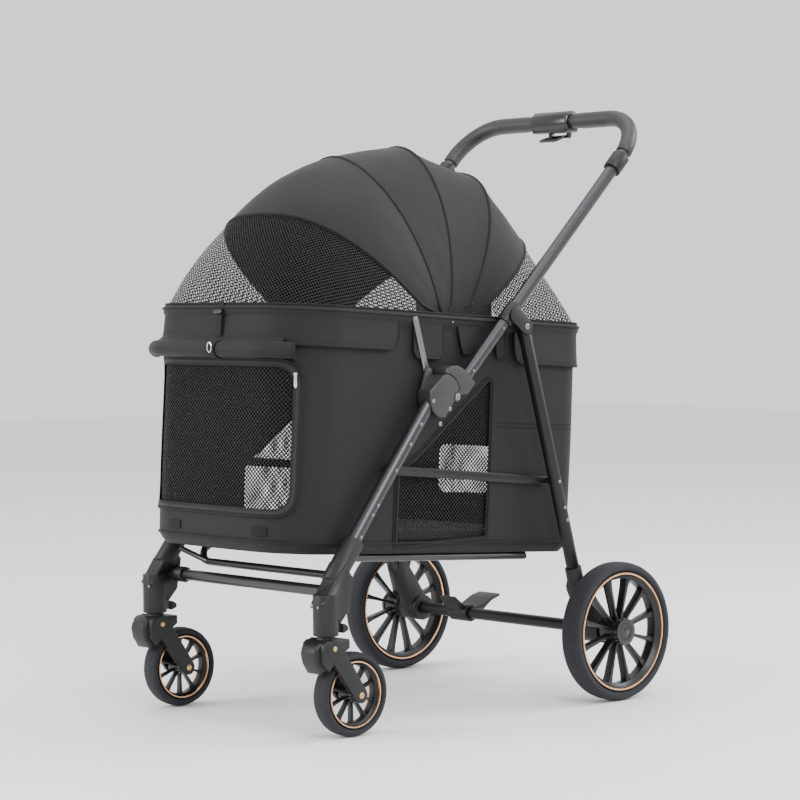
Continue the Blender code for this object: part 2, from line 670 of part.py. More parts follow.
def bow(name, steps=11):
    """A bent wire with a flat eye at each foot, on the canopy pins."""
    half = eye_x(name)
    heel = bow_point(name, 0.0)
    angle = math.atan2(heel.z - CANOPY_PIVOT[1], heel.y - CANOPY_PIVOT[0])
    foot = along(CANOPY_PIVOT, angle, BOW_EYE_RADIUS * 0.6)
    turns = [math.pi * i / steps for i in range(steps + 1)]
    path = [side_point(foot, half)] + [bow_point(name, turn) for turn in turns] + [side_point(foot, -half)]
    wire = swept(path, BOW_RADIUS, sides=5)
    eyes, holes = [], []
    for _, side in SIDES:
        reach = BOW_PITCH / 2 - GAP / 2
        low, high = side * half - reach, side * half + reach
        eyes.append(cylinder(side_point(CANOPY_PIVOT, low), side_point(CANOPY_PIVOT, high), BOW_EYE_RADIUS, sides=10))
        holes.append(cylinder(side_point(CANOPY_PIVOT, low - 0.003), side_point(CANOPY_PIVOT, high + 0.003),
                              BOW_PIN_RADIUS + PIN_CLEARANCE, sides=10))
    return combined(wire, eyes, holes)


def canopy_panel(front, rear, bulge, steps=10, strips=2):
    """The cover between two bows, which stands out from them by the bulge along its middle."""
    rows = []
    low = math.radians(7)
    for i in range(steps + 1):
        turn = low + (math.pi - 2 * low) * i / steps
        start, end = bow_point(front, turn), bow_point(rear, turn)
        across = end - start
        margin = (BOW_RADIUS + SHEET / 2 + 3 * GAP) / across.length
        outwards = ((start + end) / 2 - side_point(CANOPY_PIVOT, 0)).normalized()
        row = []
        for j in range(strips + 1):
            share = margin + (1 - 2 * margin) * j / strips
            row.append(start + across * share + outwards * bulge * 4 * share * (1 - share) * math.sin(turn))
        rows.append(row)
    return sheet(rows, SHEET)


def end_mesh(name, y_sign, steps=10, strips=1):
    """The net from an end bow down to the carrier's rim."""
    rim = [point for point in carrier_ring(0.0, RAIL_RADIUS + SHEET + GAP, front_steps=8, rear_steps=5)]
    low = math.radians(10)
    first_y = bow_point(name, low).y + y_sign * 0.004
    half = sorted((p for p in rim if (p.y - first_y) * y_sign > 0), key=lambda p: -rim_turn(p, y_sign))
    first = Vector((half[0].x, first_y, rim_height(first_y)))
    last = Vector((half[-1].x, first_y, first.z))
    line = [first] + half + [last]
    rows = []
    for i in range(steps + 1):
        share = i / steps
        start = bow_point(name, low + (math.pi - 2 * low) * share)
        end = point_along(line, share)
        drop = end - start
        margin = (BOW_RADIUS + SHEET / 2 + 4 * GAP) / drop.length
        rows.append([start + drop * (margin + (1 - margin) * j / strips) for j in range(strips + 1)])
    return sheet(rows, SHEET)


def rim_turn(point, y_sign):
    return math.atan2(point.x, (point.y - CANOPY_PIVOT[0]) * y_sign)


def rim_height(y):
    return carrier_point(0, (y - CARRIER_CENTRE[0]) / math.cos(CARRIER_TILT), RAIL_RADIUS + SHEET + GAP).z


def point_along(line, share):
    """The point at a share of a polyline's length."""
    lengths = [(b - a).length for a, b in zip(line, line[1:])]
    wanted = share * sum(lengths)
    for (a, b), length in zip(zip(line, line[1:]), lengths):
        if wanted <= length or b is line[-1]:
            return a.lerp(b, min(wanted / length, 1.0))
        wanted -= length
    return line[-1]


# Handle


def rounded_path(points, radius, steps=6):
    """A polyline with each inner corner turned into an arc."""
    path = [Vector(points[0])]
    for before, corner, after in zip(points, points[1:], points[2:]):
        before, corner, after = Vector(before), Vector(corner), Vector(after)
        to_before, to_after = (before - corner).normalized(), (after - corner).normalized()
        half = to_before.angle(to_after) / 2
        reach = radius / math.tan(half)
        centre = corner + (to_before + to_after).normalized() * radius / math.sin(half)
        start, end = corner + to_before * reach - centre, corner + to_after * reach - centre
        for i in range(steps + 1):
            path.append(centre + start.slerp(end, i / steps, start).normalized() * radius)
    path.append(Vector(points[-1]))
    return path


def handle_path(from_reach=0.0):
    """The bent part of the handle bar, from one collar round both corners to the other."""
    bend = upper_axis(UPPER_TUBE_END + COLLAR_LENGTH / 2 + 0.004)
    top = along(bend, HANDLE_RISE, HANDLE_REACH)
    start = along(bend, HANDLE_RISE, from_reach)
    ends = [start, top, top, start]
    path = [side_point(pair, side * FRAME_X) for pair, side in zip(ends, (1, 1, -1, -1))]
    return rounded_path(path, HANDLE_CORNER)


def handle_bar():
    """The bar, with the straight ends that meet the upper tubes inside the collars."""
    root = upper_axis(UPPER_TUBE_END + GAP)
    path = [side_point(root, FRAME_X)] + handle_path() + [side_point(root, -FRAME_X)]
    return swept(path, UPPER_TUBE_RADIUS, sides=GRIP_SIDES)


def grip(side):
    path = handle_path(from_reach=0.006)
    end_x = TRIGGER_HALF_WIDTH + GAP
    half = [point for point in path if point.x * side > 0]
    if side < 0:
        half.reverse()
    half.append(Vector((side * end_x, half[-1].y, half[-1].z)))
    inner = (UPPER_TUBE_RADIUS + GAP) / math.cos(math.pi / GRIP_SIDES)
    return swept(half, UPPER_TUBE_RADIUS + GRIP_WALL, inner, sides=GRIP_SIDES)


def handle_centre():
    point = handle_path()[len(handle_path()) // 2]
    return (point.y, point.z)


def trigger_housing():
    y, z = handle_centre()
    wall = UPPER_TUBE_RADIUS + TRIGGER_WALL
    outline = [(y - wall, z - 0.004), (y - wall + 0.006, z - wall), (y + wall - 0.006, z - wall),
               (y + wall, z - 0.004), (y + wall - 0.002, z + 0.010), (y + 0.008, z + wall - 0.001),
               (y - 0.008, z + wall - 0.001), (y - wall + 0.002, z + 0.010)]
    body = plate(outline, -TRIGGER_HALF_WIDTH, TRIGGER_HALF_WIDTH, 0.003)
    lugs = []
    for _, side in SIDES:
        lugs.append(plate(capsule(TRIGGER_HINGE, (TRIGGER_HINGE[0], z - wall + 0.003), 0.0045, 0.006, 4),
                          side * 0.0205, side * 0.0245))
    pin = cylinder(side_point(TRIGGER_HINGE, -0.022), side_point(TRIGGER_HINGE, 0.022), 0.0015, sides=8)
    hole = cylinder((-0.1, y, z), (0.1, y, z), (UPPER_TUBE_RADIUS + GAP) / math.cos(math.pi / GRIP_SIDES))
    return combined(body, lugs + [pin], (hole,))


def fold_trigger():
    y, z = TRIGGER_HINGE
    outline = [(y + 0.0035, z + 0.0030), (y - 0.010, z + 0.0010), (y - 0.034, z - 0.0070),
               (y - 0.036, z - 0.0100), (y - 0.034, z - 0.0120), (y - 0.010, z - 0.0045), (y + 0.0035, z - 0.0035)]
    hole = cylinder(side_point(TRIGGER_HINGE, -0.03), side_point(TRIGGER_HINGE, 0.03), 0.0015 + PIN_CLEARANCE, sides=8)
    return combined(plate(outline, -0.0195, 0.0195, 0.0005), (), (hole,))


def brake_pedal():
    """A sleeve on the axle tube with a foot wing behind and a shorter one in front."""
    y, z = REAR_WHEEL["y"], REAR_WHEEL["radius"]
    low, high = PEDAL_RANGE_X
    outer = AXLE_TUBE_RADIUS + PEDAL_WALL
    sleeve = cylinder((low, y, z), (high, y, z), outer)
    rear_wing = plate([(y - 0.002, z + 0.011), (y + 0.018, z + 0.016), (y + 0.040, z + 0.027), (y + 0.062, z + 0.032),
                       (y + 0.064, z + 0.028), (y + 0.042, z + 0.021), (y + 0.020, z + 0.006)],
                      low + 0.004, high + 0.012, 0.001)
    front_wing = plate([(y + 0.002, z + 0.011), (y - 0.012, z + 0.018), (y - 0.030, z + 0.032), (y - 0.034, z + 0.030),
                        (y - 0.020, z + 0.010), (y - 0.014, z + 0.003)], low - 0.004, high - 0.010, 0.001)
    hole = cylinder((low - 0.1, y, z), (high + 0.1, y, z), AXLE_TUBE_RADIUS + PIN_CLEARANCE)
    return combined(sleeve, (rear_wing, front_wing), (hole,))


def cradle():
    """The tube that carries the floor, hung between the two caster housings."""
    drop = -CARRIER_DEPTH - CRADLE_RADIUS - PLAY
    rear = carrier_point(0, CRADLE_END - CARRIER_CENTRE[0], drop)
    knee = carrier_point(0, CRADLE_FRONT[0] + 0.040 - CARRIER_CENTRE[0], drop)
    path = []
    for side in (1, -1):
        half = [(side * CRADLE_X, rear.y, rear.z), (side * CRADLE_X, knee.y, knee.z),
                (side * CRADLE_X, *CRADLE_FRONT)]
        path += half if side > 0 else half[::-1]
    tube = swept(rounded_path(path, CRADLE_CORNER, 4), CRADLE_RADIUS, sides=10)
    lugs = []
    for side in (1, -1):
        end_x = side * (FRAME_X - FRONT_TUBE_RADIUS - SOCKET_WALL - CRADLE_LUG_RADIUS)
        start = side_point(CRADLE_FRONT, side * (CRADLE_X - CRADLE_CORNER))
        end = side_point(front_axis(-0.032), end_x)
        lugs.append(cylinder(start, end, CRADLE_LUG_RADIUS, sides=8))
    return combined(tube, lugs)


def brace(side):
    """A flat bar hinged to the front tube, with a spacer that meets the rear leg."""
    plate_x = side * SIDE_PLATE_X
    rear = leg_axis(BRACE_REAR_DOWN)
    bar = plate(capsule(BRACE_FRONT, rear, BRACE_HEIGHT / 2, BRACE_HEIGHT / 2), plate_x - side * SIDE_PLATE / 2,
                plate_x + side * SIDE_PLATE / 2)
    spacers = []
    for pair, reach in ((BRACE_FRONT, FRAME_X - FRONT_TUBE_RADIUS), (rear, LEG_X - LEG_RADIUS)):
        spacers.append(cylinder(side_point(pair, plate_x), side_point(pair, side * (reach - GAP)), 0.0050, sides=12))
    return combined(bar, spacers)


def rail_link(side):
    return plate(capsule(RAIL_LINK_UPPER, RAIL_LINK_LOWER, 0.0058, 0.0058), side * SIDE_PLATE_X,
                 side * (LUG_X - GAP))


# Values worked out from the sizes above

RAIL_LINK_UPPER = (-0.154, 0.6665)
RAIL_LINK_LOWER = (-0.1290, 0.5765)
LUG_X = SIDE_PLATE_X + SIDE_PLATE + GAP
CROSSBAR_HALF = FRONT_WHEEL["x"] - 0.022
AXLE_TUBE_HALF = LEG_X + 0.002
BRACKET_ALONG = (LEG_PIVOT[0] - HINGE[0]) * math.cos(UPPER_TUBE_ANGLE) + (LEG_PIVOT[1] - HINGE[1]) * math.sin(
    UPPER_TUBE_ANGLE) - 0.004
TRIGGER_HINGE = (handle_centre()[0] + 0.014, handle_centre()[1] - UPPER_TUBE_RADIUS - TRIGGER_WALL - 0.0055)

for item in list(bpy.data.objects):
    bpy.data.objects.remove(item)

gunmetal = make_material("gunmetal_tube", (0.045, 0.046, 0.048), 0.35, 0.9)
moulding = make_material("black_moulding", (0.030, 0.030, 0.031), 0.45)
steel = make_material("dark_steel", (0.20, 0.20, 0.21), 0.35, 1.0)
rubber = make_material("tyre_rubber", (0.030, 0.031, 0.037), 0.70)
leatherette = make_material("grip_leatherette", (0.022, 0.022, 0.023), 0.60)
fabric = make_material("charcoal_fabric", (0.050, 0.050, 0.052), 0.85)
net = make_material("black_net", (0.020, 0.020, 0.020), 0.80)

# Body tree: the chassis stands on its casters, and the upper frame folds back over the hinge
add_body("chassis")
add_body("upper_frame", side_point(HINGE, 0), "chassis")
add_body("fold_trigger_body", side_point(TRIGGER_HINGE, 0), "upper_frame")
add_body("rear_legs", side_point(LEG_PIVOT, 0), "upper_frame")
add_body("brake_pedal_body", (0, REAR_WHEEL["y"], REAR_WHEEL["radius"]), "rear_legs")
add_body("brace_pair", side_point(BRACE_FRONT, 0), "chassis")
behind = "chassis"
for bow_name in list(BOWS)[-2::-1]:
    add_body(f"{bow_name}_body", side_point(CANOPY_PIVOT, 0), behind)
    behind = f"{bow_name}_body"
for name, side in SIDES:
    add_body(f"rear_wheel_{name}", (side * REAR_WHEEL["x"], REAR_WHEEL["y"], REAR_WHEEL["radius"]), "rear_legs")
    add_body(f"caster_{name}", (side * FRONT_WHEEL["x"], SWIVEL_Y, 0), "chassis")
    add_body(f"front_wheel_{name}", (side * FRONT_WHEEL["x"], FRONT_WHEEL["y"], FRONT_WHEEL["radius"]),
             f"caster_{name}")
    add_body(f"swivel_lock_{name}_body", side_point(LOCK_HINGE, side * FRONT_WHEEL["x"]), "chassis")

for name, side in SIDES:
    frame_x, leg_x = side * FRAME_X, side * LEG_X
    add_node(f"front_tube_{name}", straight_tube(front_axis, -FRONT_TUBE_DOWN, FRONT_TUBE_UP, frame_x,
                                                 FRONT_TUBE_RADIUS), gunmetal, "chassis")
    add_node(f"caster_housing_{name}", caster_housing(side), moulding, "chassis")
    add_node(f"knuckle_lower_{name}", knuckle_lower(side), moulding, "chassis")
    add_node(f"rail_link_{name}", rail_link(side), steel, "chassis")
    add_node(f"knuckle_upper_{name}", knuckle_upper(side), moulding, "upper_frame")
    add_node(f"upper_tube_{name}", straight_tube(upper_axis, UPPER_TUBE_START, UPPER_TUBE_END, frame_x,
                                                 UPPER_TUBE_RADIUS), gunmetal, "upper_frame")
    collar_ends = [side_point(upper_axis(UPPER_TUBE_END + step * COLLAR_LENGTH / 2), frame_x) for step in (-1, 1)]
    add_node(f"handle_collar_{name}", swept(collar_ends, UPPER_TUBE_RADIUS + COLLAR_WALL,
                                            UPPER_TUBE_RADIUS + BORE_CLEARANCE, 12), moulding, "upper_frame")
    add_node(f"grip_{name}", grip(side), leatherette, "upper_frame")
    add_node(f"leg_bracket_{name}", leg_bracket(side), steel, "upper_frame")
    add_node(f"rear_leg_{name}", rear_leg(side), gunmetal, "rear_legs")
    add_node(f"rear_foot_{name}", rear_foot(side), moulding, "rear_legs")
    add_node(f"brace_{name}", brace(side), steel, "brace_pair")
    add_node(f"rear_rim_{name}", wheel_rim(REAR_WHEEL, side), moulding, f"rear_wheel_{name}")
    add_node(f"rear_tyre_{name}", wheel_tyre(REAR_WHEEL, side), rubber, f"rear_wheel_{name}")
    add_node(f"caster_fork_{name}", caster_fork(side), moulding, f"caster_{name}")
    add_node(f"front_rim_{name}", wheel_rim(FRONT_WHEEL, side), moulding, f"front_wheel_{name}")
    add_node(f"front_tyre_{name}", wheel_tyre(FRONT_WHEEL, side), rubber, f"front_wheel_{name}")
    add_node(f"swivel_lock_{name}", swivel_lock(side), moulding, f"swivel_lock_{name}_body")

add_node("front_crossbar", cylinder(side_point(CROSSBAR, -CROSSBAR_HALF), side_point(CROSSBAR, CROSSBAR_HALF),
                                    CROSSBAR_RADIUS), gunmetal, "chassis")
add_node("carrier_cradle", cradle(), gunmetal, "chassis")
add_node("rim_rail", rim_rail(), steel, "chassis")
add_node("carrier_shell", carrier_shell(), fabric, "chassis")
add_node("floor_pad", floor_pad(), fabric, "chassis")
add_node("window_flap_roll", window_flap_roll(), fabric, "chassis")
add_node("rear_pouch", rear_pouch(), fabric, "chassis")

add_node("handle_bar", handle_bar(), gunmetal, "upper_frame")
add_node("trigger_housing", trigger_housing(), moulding, "upper_frame")
add_node("fold_trigger", fold_trigger(), moulding, "fold_trigger_body")
axle_pair = (REAR_WHEEL["y"], REAR_WHEEL["radius"])
add_node("rear_axle_tube", swept([side_point(axle_pair, -AXLE_TUBE_HALF), side_point(axle_pair, AXLE_TUBE_HALF)],
                                 AXLE_TUBE_RADIUS, AXLE_TUBE_RADIUS - TUBE_WALL, 12), gunmetal, "rear_legs")
add_node("brake_pedal", brake_pedal(), moulding, "brake_pedal_body")

names = list(BOWS)
for bow_name in names:
    add_node(bow_name, bow(bow_name), steel, "chassis" if bow_name == names[-1] else f"{bow_name}_body")
for front_bow, rear_bow, bulge in zip(names, names[1:], PANEL_BULGES):
    add_node(f"canopy_panel_{front_bow[4:]}", canopy_panel(front_bow, rear_bow, bulge), fabric,
             f"{front_bow}_body")
add_node("canopy_front_net", end_mesh(names[0], -1), net, f"{names[0]}_body")
add_node("canopy_rear_net", end_mesh(names[-1], 1), net, "chassis")

# The origin goes to the middle of the footprint, at ground level
bpy.context.view_layer.update()
corners = [item.matrix_world @ Vector(corner) for item in bpy.data.objects if item.type == "MESH"
           for corner in item.bound_box]
middle_y = (min(corner.y for corner in corners) + max(corner.y for corner in corners)) / 2
bodies["chassis"].location.y -= middle_y
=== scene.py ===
import json
import math

import bmesh
import bpy
from mathutils import Matrix, Vector, noise


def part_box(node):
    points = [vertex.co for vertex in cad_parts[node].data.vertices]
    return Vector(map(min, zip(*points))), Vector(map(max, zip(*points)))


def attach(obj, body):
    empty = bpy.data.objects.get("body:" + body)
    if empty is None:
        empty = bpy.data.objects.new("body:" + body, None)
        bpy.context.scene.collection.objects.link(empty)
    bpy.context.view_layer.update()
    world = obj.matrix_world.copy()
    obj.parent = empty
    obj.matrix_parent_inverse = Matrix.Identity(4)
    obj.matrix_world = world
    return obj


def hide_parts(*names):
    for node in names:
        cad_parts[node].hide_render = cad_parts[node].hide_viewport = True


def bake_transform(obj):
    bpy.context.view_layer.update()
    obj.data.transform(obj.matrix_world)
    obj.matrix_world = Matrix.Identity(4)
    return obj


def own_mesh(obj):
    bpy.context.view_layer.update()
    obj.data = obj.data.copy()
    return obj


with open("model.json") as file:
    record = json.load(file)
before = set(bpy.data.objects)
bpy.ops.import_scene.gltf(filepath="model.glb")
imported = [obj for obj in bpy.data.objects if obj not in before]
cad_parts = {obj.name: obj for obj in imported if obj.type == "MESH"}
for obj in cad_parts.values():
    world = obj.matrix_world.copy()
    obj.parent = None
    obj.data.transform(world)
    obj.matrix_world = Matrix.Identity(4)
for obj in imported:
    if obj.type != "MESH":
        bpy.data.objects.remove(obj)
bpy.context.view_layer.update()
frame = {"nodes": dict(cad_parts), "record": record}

bodyOf = {node: body for body, nodes in frame["record"]["behaviour"]["bodies"].items() for node in nodes}
sides = (("left", 1), ("right", -1))

# Every place below is given with the front axle at -0.3195, then moved to where the frame holds it
lowTyre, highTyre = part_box("front_tyre_left")
frameShift = (lowTyre.y + highTyre.y) / 2 + 0.3195


def shade(value):
    return (value, value, value * 1.03, 1.0)


# ---- camera, floor and light

cameraView = {"place": (3.290, -3.029, 0.706), "target": (0.0, 0.0, 0.5224), "lens": 115.6, "roll": -0.0095}
studio = {"floorColour": (0.88, 0.88, 0.885, 1.0), "worldColour": (0.93, 0.935, 0.95, 1.0), "worldStrength": 1.35}
lamps = {
    "keyPanel": {"place": (3.6, -1.2, 3.2), "size": 2.4, "power": 150.0},
    "leftPanel": {"place": (-1.6, -3.8, 2.0), "size": 2.0, "power": 130.0},
    "backPanel": {"place": (1.8, 3.4, 2.6), "size": 2.2, "power": 120.0},
    "topPanel": {"place": (0.0, 0.2, 3.8), "size": 3.0, "power": 70.0},
}


def shifted(point):
    return Vector((point[0], point[1] + frameShift, point[2]))


def buildStudio():
    camera = bpy.data.objects.new("viewCamera", bpy.data.cameras.new("viewCamera"))
    bpy.context.scene.collection.objects.link(camera)
    place, target = shifted(cameraView["place"]), shifted(cameraView["target"])
    turn = (target - place).to_track_quat("-Z", "Y").to_matrix().to_4x4()
    camera.matrix_world = Matrix.Translation(place) @ turn @ Matrix.Rotation(cameraView["roll"], 4, "Z")
    camera.data.lens = cameraView["lens"]
    camera.data.sensor_width = 36.0
    bpy.context.scene.camera = camera
    world = bpy.context.scene.world or bpy.data.worlds.new("studioWorld")
    bpy.context.scene.world = world
    world.use_nodes = True
    sky = world.node_tree.nodes["Background"]
    sky.inputs["Color"].default_value = studio["worldColour"]
    sky.inputs["Strength"].default_value = studio["worldStrength"]
    for name, values in lamps.items():
        lamp = bpy.data.objects.new(name, bpy.data.lights.new(name, "AREA"))
        bpy.context.scene.collection.objects.link(lamp)
        lamp.data.size = values["size"]
        lamp.data.energy = values["power"]
        lamp.location = values["place"]
        lamp.rotation_euler = (Vector((0, 0, 0.5)) - lamp.location).to_track_quat("-Z", "Y").to_euler()


# ---- shader node groups


def put(tree, kind, inputs=None, **settings):
    made = tree.nodes.new(kind)
    for key, value in settings.items():
        setattr(made, key, value)
    for key, value in (inputs or {}).items():
        if isinstance(value, bpy.types.NodeSocket):
            tree.links.new(value, made.inputs[key])
        else:
            made.inputs[key].default_value = value
    return made


def calc(tree, operation, *values):
    return put(tree, "ShaderNodeMath", dict(enumerate(values)), operation=operation).outputs[0]


def mixColour(tree, share, first, second):
    made = put(tree, "ShaderNodeMix", data_type="RGBA")
    for index, value in ((0, share), (6, first), (7, second)):
        if isinstance(value, bpy.types.NodeSocket):
            tree.links.new(value, made.inputs[index])
        else:
            made.inputs[index].default_value = value
    return made.outputs[2]


def newGroup(name, inputs, outputs):
    group = bpy.data.node_groups.new(name, "ShaderNodeTree")
    for label, kind, value in inputs:
        socket = group.interface.new_socket(name=label, in_out="INPUT", socket_type="NodeSocket" + kind)
        if value is not None:
            socket.default_value = value
    for label, kind in outputs:
        group.interface.new_socket(name=label, in_out="OUTPUT", socket_type="NodeSocket" + kind)
    return group, group.nodes.new("NodeGroupInput").outputs, group.nodes.new("NodeGroupOutput").inputs


def buildClothWeave():
    group, given, out = newGroup("clothWeave", (
        ("Vector", "Vector", None), ("Colour", "Color", shade(0.05)), ("Thread", "Float", 0.0012),
        ("Fading", "Float", 0.3)), (("Colour", "Color"), ("Height", "Float"), ("Roughness", "Float")))
    tree = group
    split = put(tree, "ShaderNodeSeparateXYZ", {0: given["Vector"]})
    turn = calc(tree, "DIVIDE", math.pi, given["Thread"])
    waves = [calc(tree, "SINE", calc(tree, "MULTIPLY", split.outputs[i], turn)) for i in (0, 1)]
    height = calc(tree, "MULTIPLY_ADD", calc(tree, "MULTIPLY", waves[0], waves[1]), 0.5, 0.5)
    slub = put(tree, "ShaderNodeTexNoise", {"Vector": given["Vector"], "Scale": 240.0, "Detail": 2.0})
    cloud = put(tree, "ShaderNodeTexNoise", {"Vector": given["Vector"], "Scale": 7.0, "Detail": 4.0})
    # the tone runs from a darker to a lighter copy of the colour: random slub and cloud tone, plus painted shade in
    # the weave's hollows, where thread tops come out lighter
    dark = mixColour(tree, 0.40, given["Colour"], (0, 0, 0, 1))
    light = mixColour(tree, 0.012, given["Colour"], (0.6, 0.6, 0.62, 1))
    share = calc(tree, "MULTIPLY_ADD", height, 0.35, calc(tree, "MULTIPLY", cloud.outputs["Fac"], given["Fading"]))
    share = calc(tree, "MULTIPLY_ADD", slub.outputs["Fac"], 0.30, share)
    tree.links.new(mixColour(tree, share, dark, light), out["Colour"])
    tree.links.new(calc(tree, "MULTIPLY_ADD", slub.outputs["Fac"], 0.5, height), out["Height"])
    tree.links.new(calc(tree, "MULTIPLY_ADD", cloud.outputs["Fac"], 0.22, 0.55), out["Roughness"])
    return group


def buildNetHoles():
    group, given, out = newGroup("netHoles", (
        ("Vector", "Vector", None), ("Cell", "Float", 0.0045), ("Open", "Float", 0.36)),
        (("Thread", "Float"), ("Height", "Float")))
    tree = group
    turned = put(tree, "ShaderNodeMapping", {"Vector": given["Vector"], "Rotation": (0, 0, math.pi / 4)})
    cells = put(tree, "ShaderNodeTexVoronoi", {
        "Vector": turned.outputs[0], "Scale": calc(tree, "DIVIDE", 1.0, given["Cell"]), "Randomness": 0.0},
        voronoi_dimensions="2D")
    edge = put(tree, "ShaderNodeMapRange", {
        "Value": cells.outputs["Distance"], "From Min": given["Open"],
        "From Max": calc(tree, "ADD", given["Open"], 0.05)})
    tree.links.new(edge.outputs[0], out["Thread"])
    tree.links.new(cells.outputs["Distance"], out["Height"])
    return group


def buildMouldGrain():
    group, given, out = newGroup("mouldGrain", (
        ("Vector", "Vector", None), ("Grain", "Float", 900.0), ("Clouds", "Float", 14.0)),
        (("Height", "Float"), ("Mask", "Float")))
    tree = group
    fine = put(tree, "ShaderNodeTexNoise", {"Vector": given["Vector"], "Scale": given["Grain"], "Detail": 3.0})
    coarse = put(tree, "ShaderNodeTexNoise", {"Vector": given["Vector"], "Scale": given["Clouds"], "Detail": 5.0})
    tree.links.new(fine.outputs["Fac"], out["Height"])
    tree.links.new(coarse.outputs["Fac"], out["Mask"])
    return group


def buildHandlingWear():
    group, given, out = newGroup("handlingWear", (
        ("Vector", "Vector", None), ("Amount", "Float", 0.3), ("Spread", "Float", 60.0)), (("Mask", "Float"),))
    tree = group
    stretched = put(tree, "ShaderNodeMapping", {"Vector": given["Vector"], "Scale": (1.0, 0.35, 1.0)})
    marks = put(tree, "ShaderNodeTexNoise", {
        "Vector": stretched.outputs[0], "Scale": given["Spread"], "Detail": 8.0, "Roughness": 0.75})
    cut = put(tree, "ShaderNodeMapRange", {"Value": marks.outputs["Fac"], "From Min": 0.60, "From Max": 0.78})
    tree.links.new(calc(tree, "MULTIPLY", cut.outputs[0], given["Amount"]), out["Mask"])
    return group


def buildLeatherGrain():
    group, given, out = newGroup("leatherGrain", (("Vector", "Vector", None), ("Size", "Float", 0.0016)),
                                 (("Height", "Float"), ("Mask", "Float")))
    tree = group
    scale = calc(tree, "DIVIDE", 1.0, given["Size"])
    warp = put(tree, "ShaderNodeTexNoise", {"Vector": given["Vector"], "Scale": 160.0, "Detail": 2.0})
    moved = put(tree, "ShaderNodeVectorMath", {
        0: warp.outputs["Color"], 1: (0.002, 0.002, 0.002), 2: given["Vector"]}, operation="MULTIPLY_ADD")
    pores = put(tree, "ShaderNodeTexVoronoi", {"Vector": moved.outputs[0], "Scale": scale})
    tree.links.new(calc(tree, "SUBTRACT", 1.0, pores.outputs["Distance"]), out["Height"])
    tree.links.new(warp.outputs["Fac"], out["Mask"])
    return group


def buildTreadPattern():
    group, given, out = newGroup("treadPattern", (
        ("Vector", "Vector", None), ("Pitch", "Float", 0.0042)), (("Height", "Float"),))
    tree = group
    split = put(tree, "ShaderNodeSeparateXYZ", {0: given["Vector"]})
    turn = calc(tree, "DIVIDE", math.pi, given["Pitch"])
    sums = [calc(tree, operation, split.outputs[0], split.outputs[1]) for operation in ("ADD", "SUBTRACT")]
    waves = [calc(tree, "ABSOLUTE", calc(tree, "SINE", calc(tree, "MULTIPLY", s, turn))) for s in sums]
    tree.links.new(calc(tree, "SMOOTH_MIN", waves[0], waves[1], 0.2), out["Height"])
    return group


groups = {
    "cloth": buildClothWeave(), "net": buildNetHoles(), "grain": buildMouldGrain(),
    "wear": buildHandlingWear(), "leather": buildLeatherGrain(), "tread": buildTreadPattern(),
}


def useGroup(tree, name, inputs):
    made = tree.nodes.new("ShaderNodeGroup")
    made.node_tree = groups[name]
    for key, value in inputs.items():
        if isinstance(value, bpy.types.NodeSocket):
            tree.links.new(value, made.inputs[key])
        else:
            made.inputs[key].default_value = value
    return made.outputs


# ---- materials


def newMaterial(name, **fixed):
    material = bpy.data.materials.new(name)
    material.use_nodes = True
    tree = material.node_tree
    shader = tree.nodes["Principled BSDF"]
    for key, value in fixed.items():
        shader.inputs[key.replace("_", " ")].default_value = value
    return material, tree, shader, tree.nodes.new("ShaderNodeTexCoord").outputs


def addBump(tree, shader, height, strength, distance):
    bump = put(tree, "ShaderNodeBump", {"Height": height, "Strength": strength, "Distance": distance})
    tree.links.new(bump.outputs[0], shader.inputs["Normal"])


def clothMaterial(name, colour, thread=0.0012, bump=0.35, sheen=0.25, fading=0.3):
    material, tree, shader, coordinates = newMaterial(name, Sheen_Weight=sheen, Sheen_Roughness=0.45,
                                                      Specular_IOR_Level=0.20)
    weave = useGroup(tree, "cloth", {"Vector": coordinates["UV"], "Colour": colour, "Thread": thread,
                                     "Fading": fading})
    tree.links.new(weave["Colour"], shader.inputs["Base Color"])
    tree.links.new(weave["Roughness"], shader.inputs["Roughness"])
    addBump(tree, shader, weave["Height"], bump, 0.0004)
    return material


def netMaterial(name, colour, cell, openShare):
    material, tree, shader, coordinates = newMaterial(name, Sheen_Weight=0.02, Specular_IOR_Level=0.20)
    holes = useGroup(tree, "net", {"Vector": coordinates["UV"], "Cell": cell, "Open": openShare})
    weave = useGroup(tree, "cloth", {"Vector": coordinates["UV"], "Colour": colour, "Thread": 0.0008})
    tree.links.new(weave["Colour"], shader.inputs["Base Color"])
    tree.links.new(weave["Roughness"], shader.inputs["Roughness"])
    tree.links.new(holes["Thread"], shader.inputs["Alpha"])
    addBump(tree, shader, holes["Height"], 0.5, 0.0006)
    return material


def mouldMaterial(name, colour, worn, roughness, metallic=0.0, coat=0.0, grain=900.0, bump=0.25, wear=0.35,
                  coordinate="Object"):
    material, tree, shader, coordinates = newMaterial(name, Metallic=metallic, Coat_Weight=coat, Coat_Roughness=0.2,
                                                      Specular_IOR_Level=0.35)
    place = coordinates[coordinate]
    texture = useGroup(tree, "grain", {"Vector": place, "Grain": grain})
    scuffs = useGroup(tree, "wear", {"Vector": place, "Amount": wear})
    tree.links.new(mixColour(tree, scuffs["Mask"], colour, worn), shader.inputs["Base Color"])
    rough = calc(tree, "MULTIPLY_ADD", texture["Mask"], 0.16, roughness - 0.08)
    tree.links.new(calc(tree, "ADD", rough, calc(tree, "MULTIPLY", scuffs["Mask"], 0.12)),
                   shader.inputs["Roughness"])
    addBump(tree, shader, texture["Height"], bump, 0.0003)
    return material


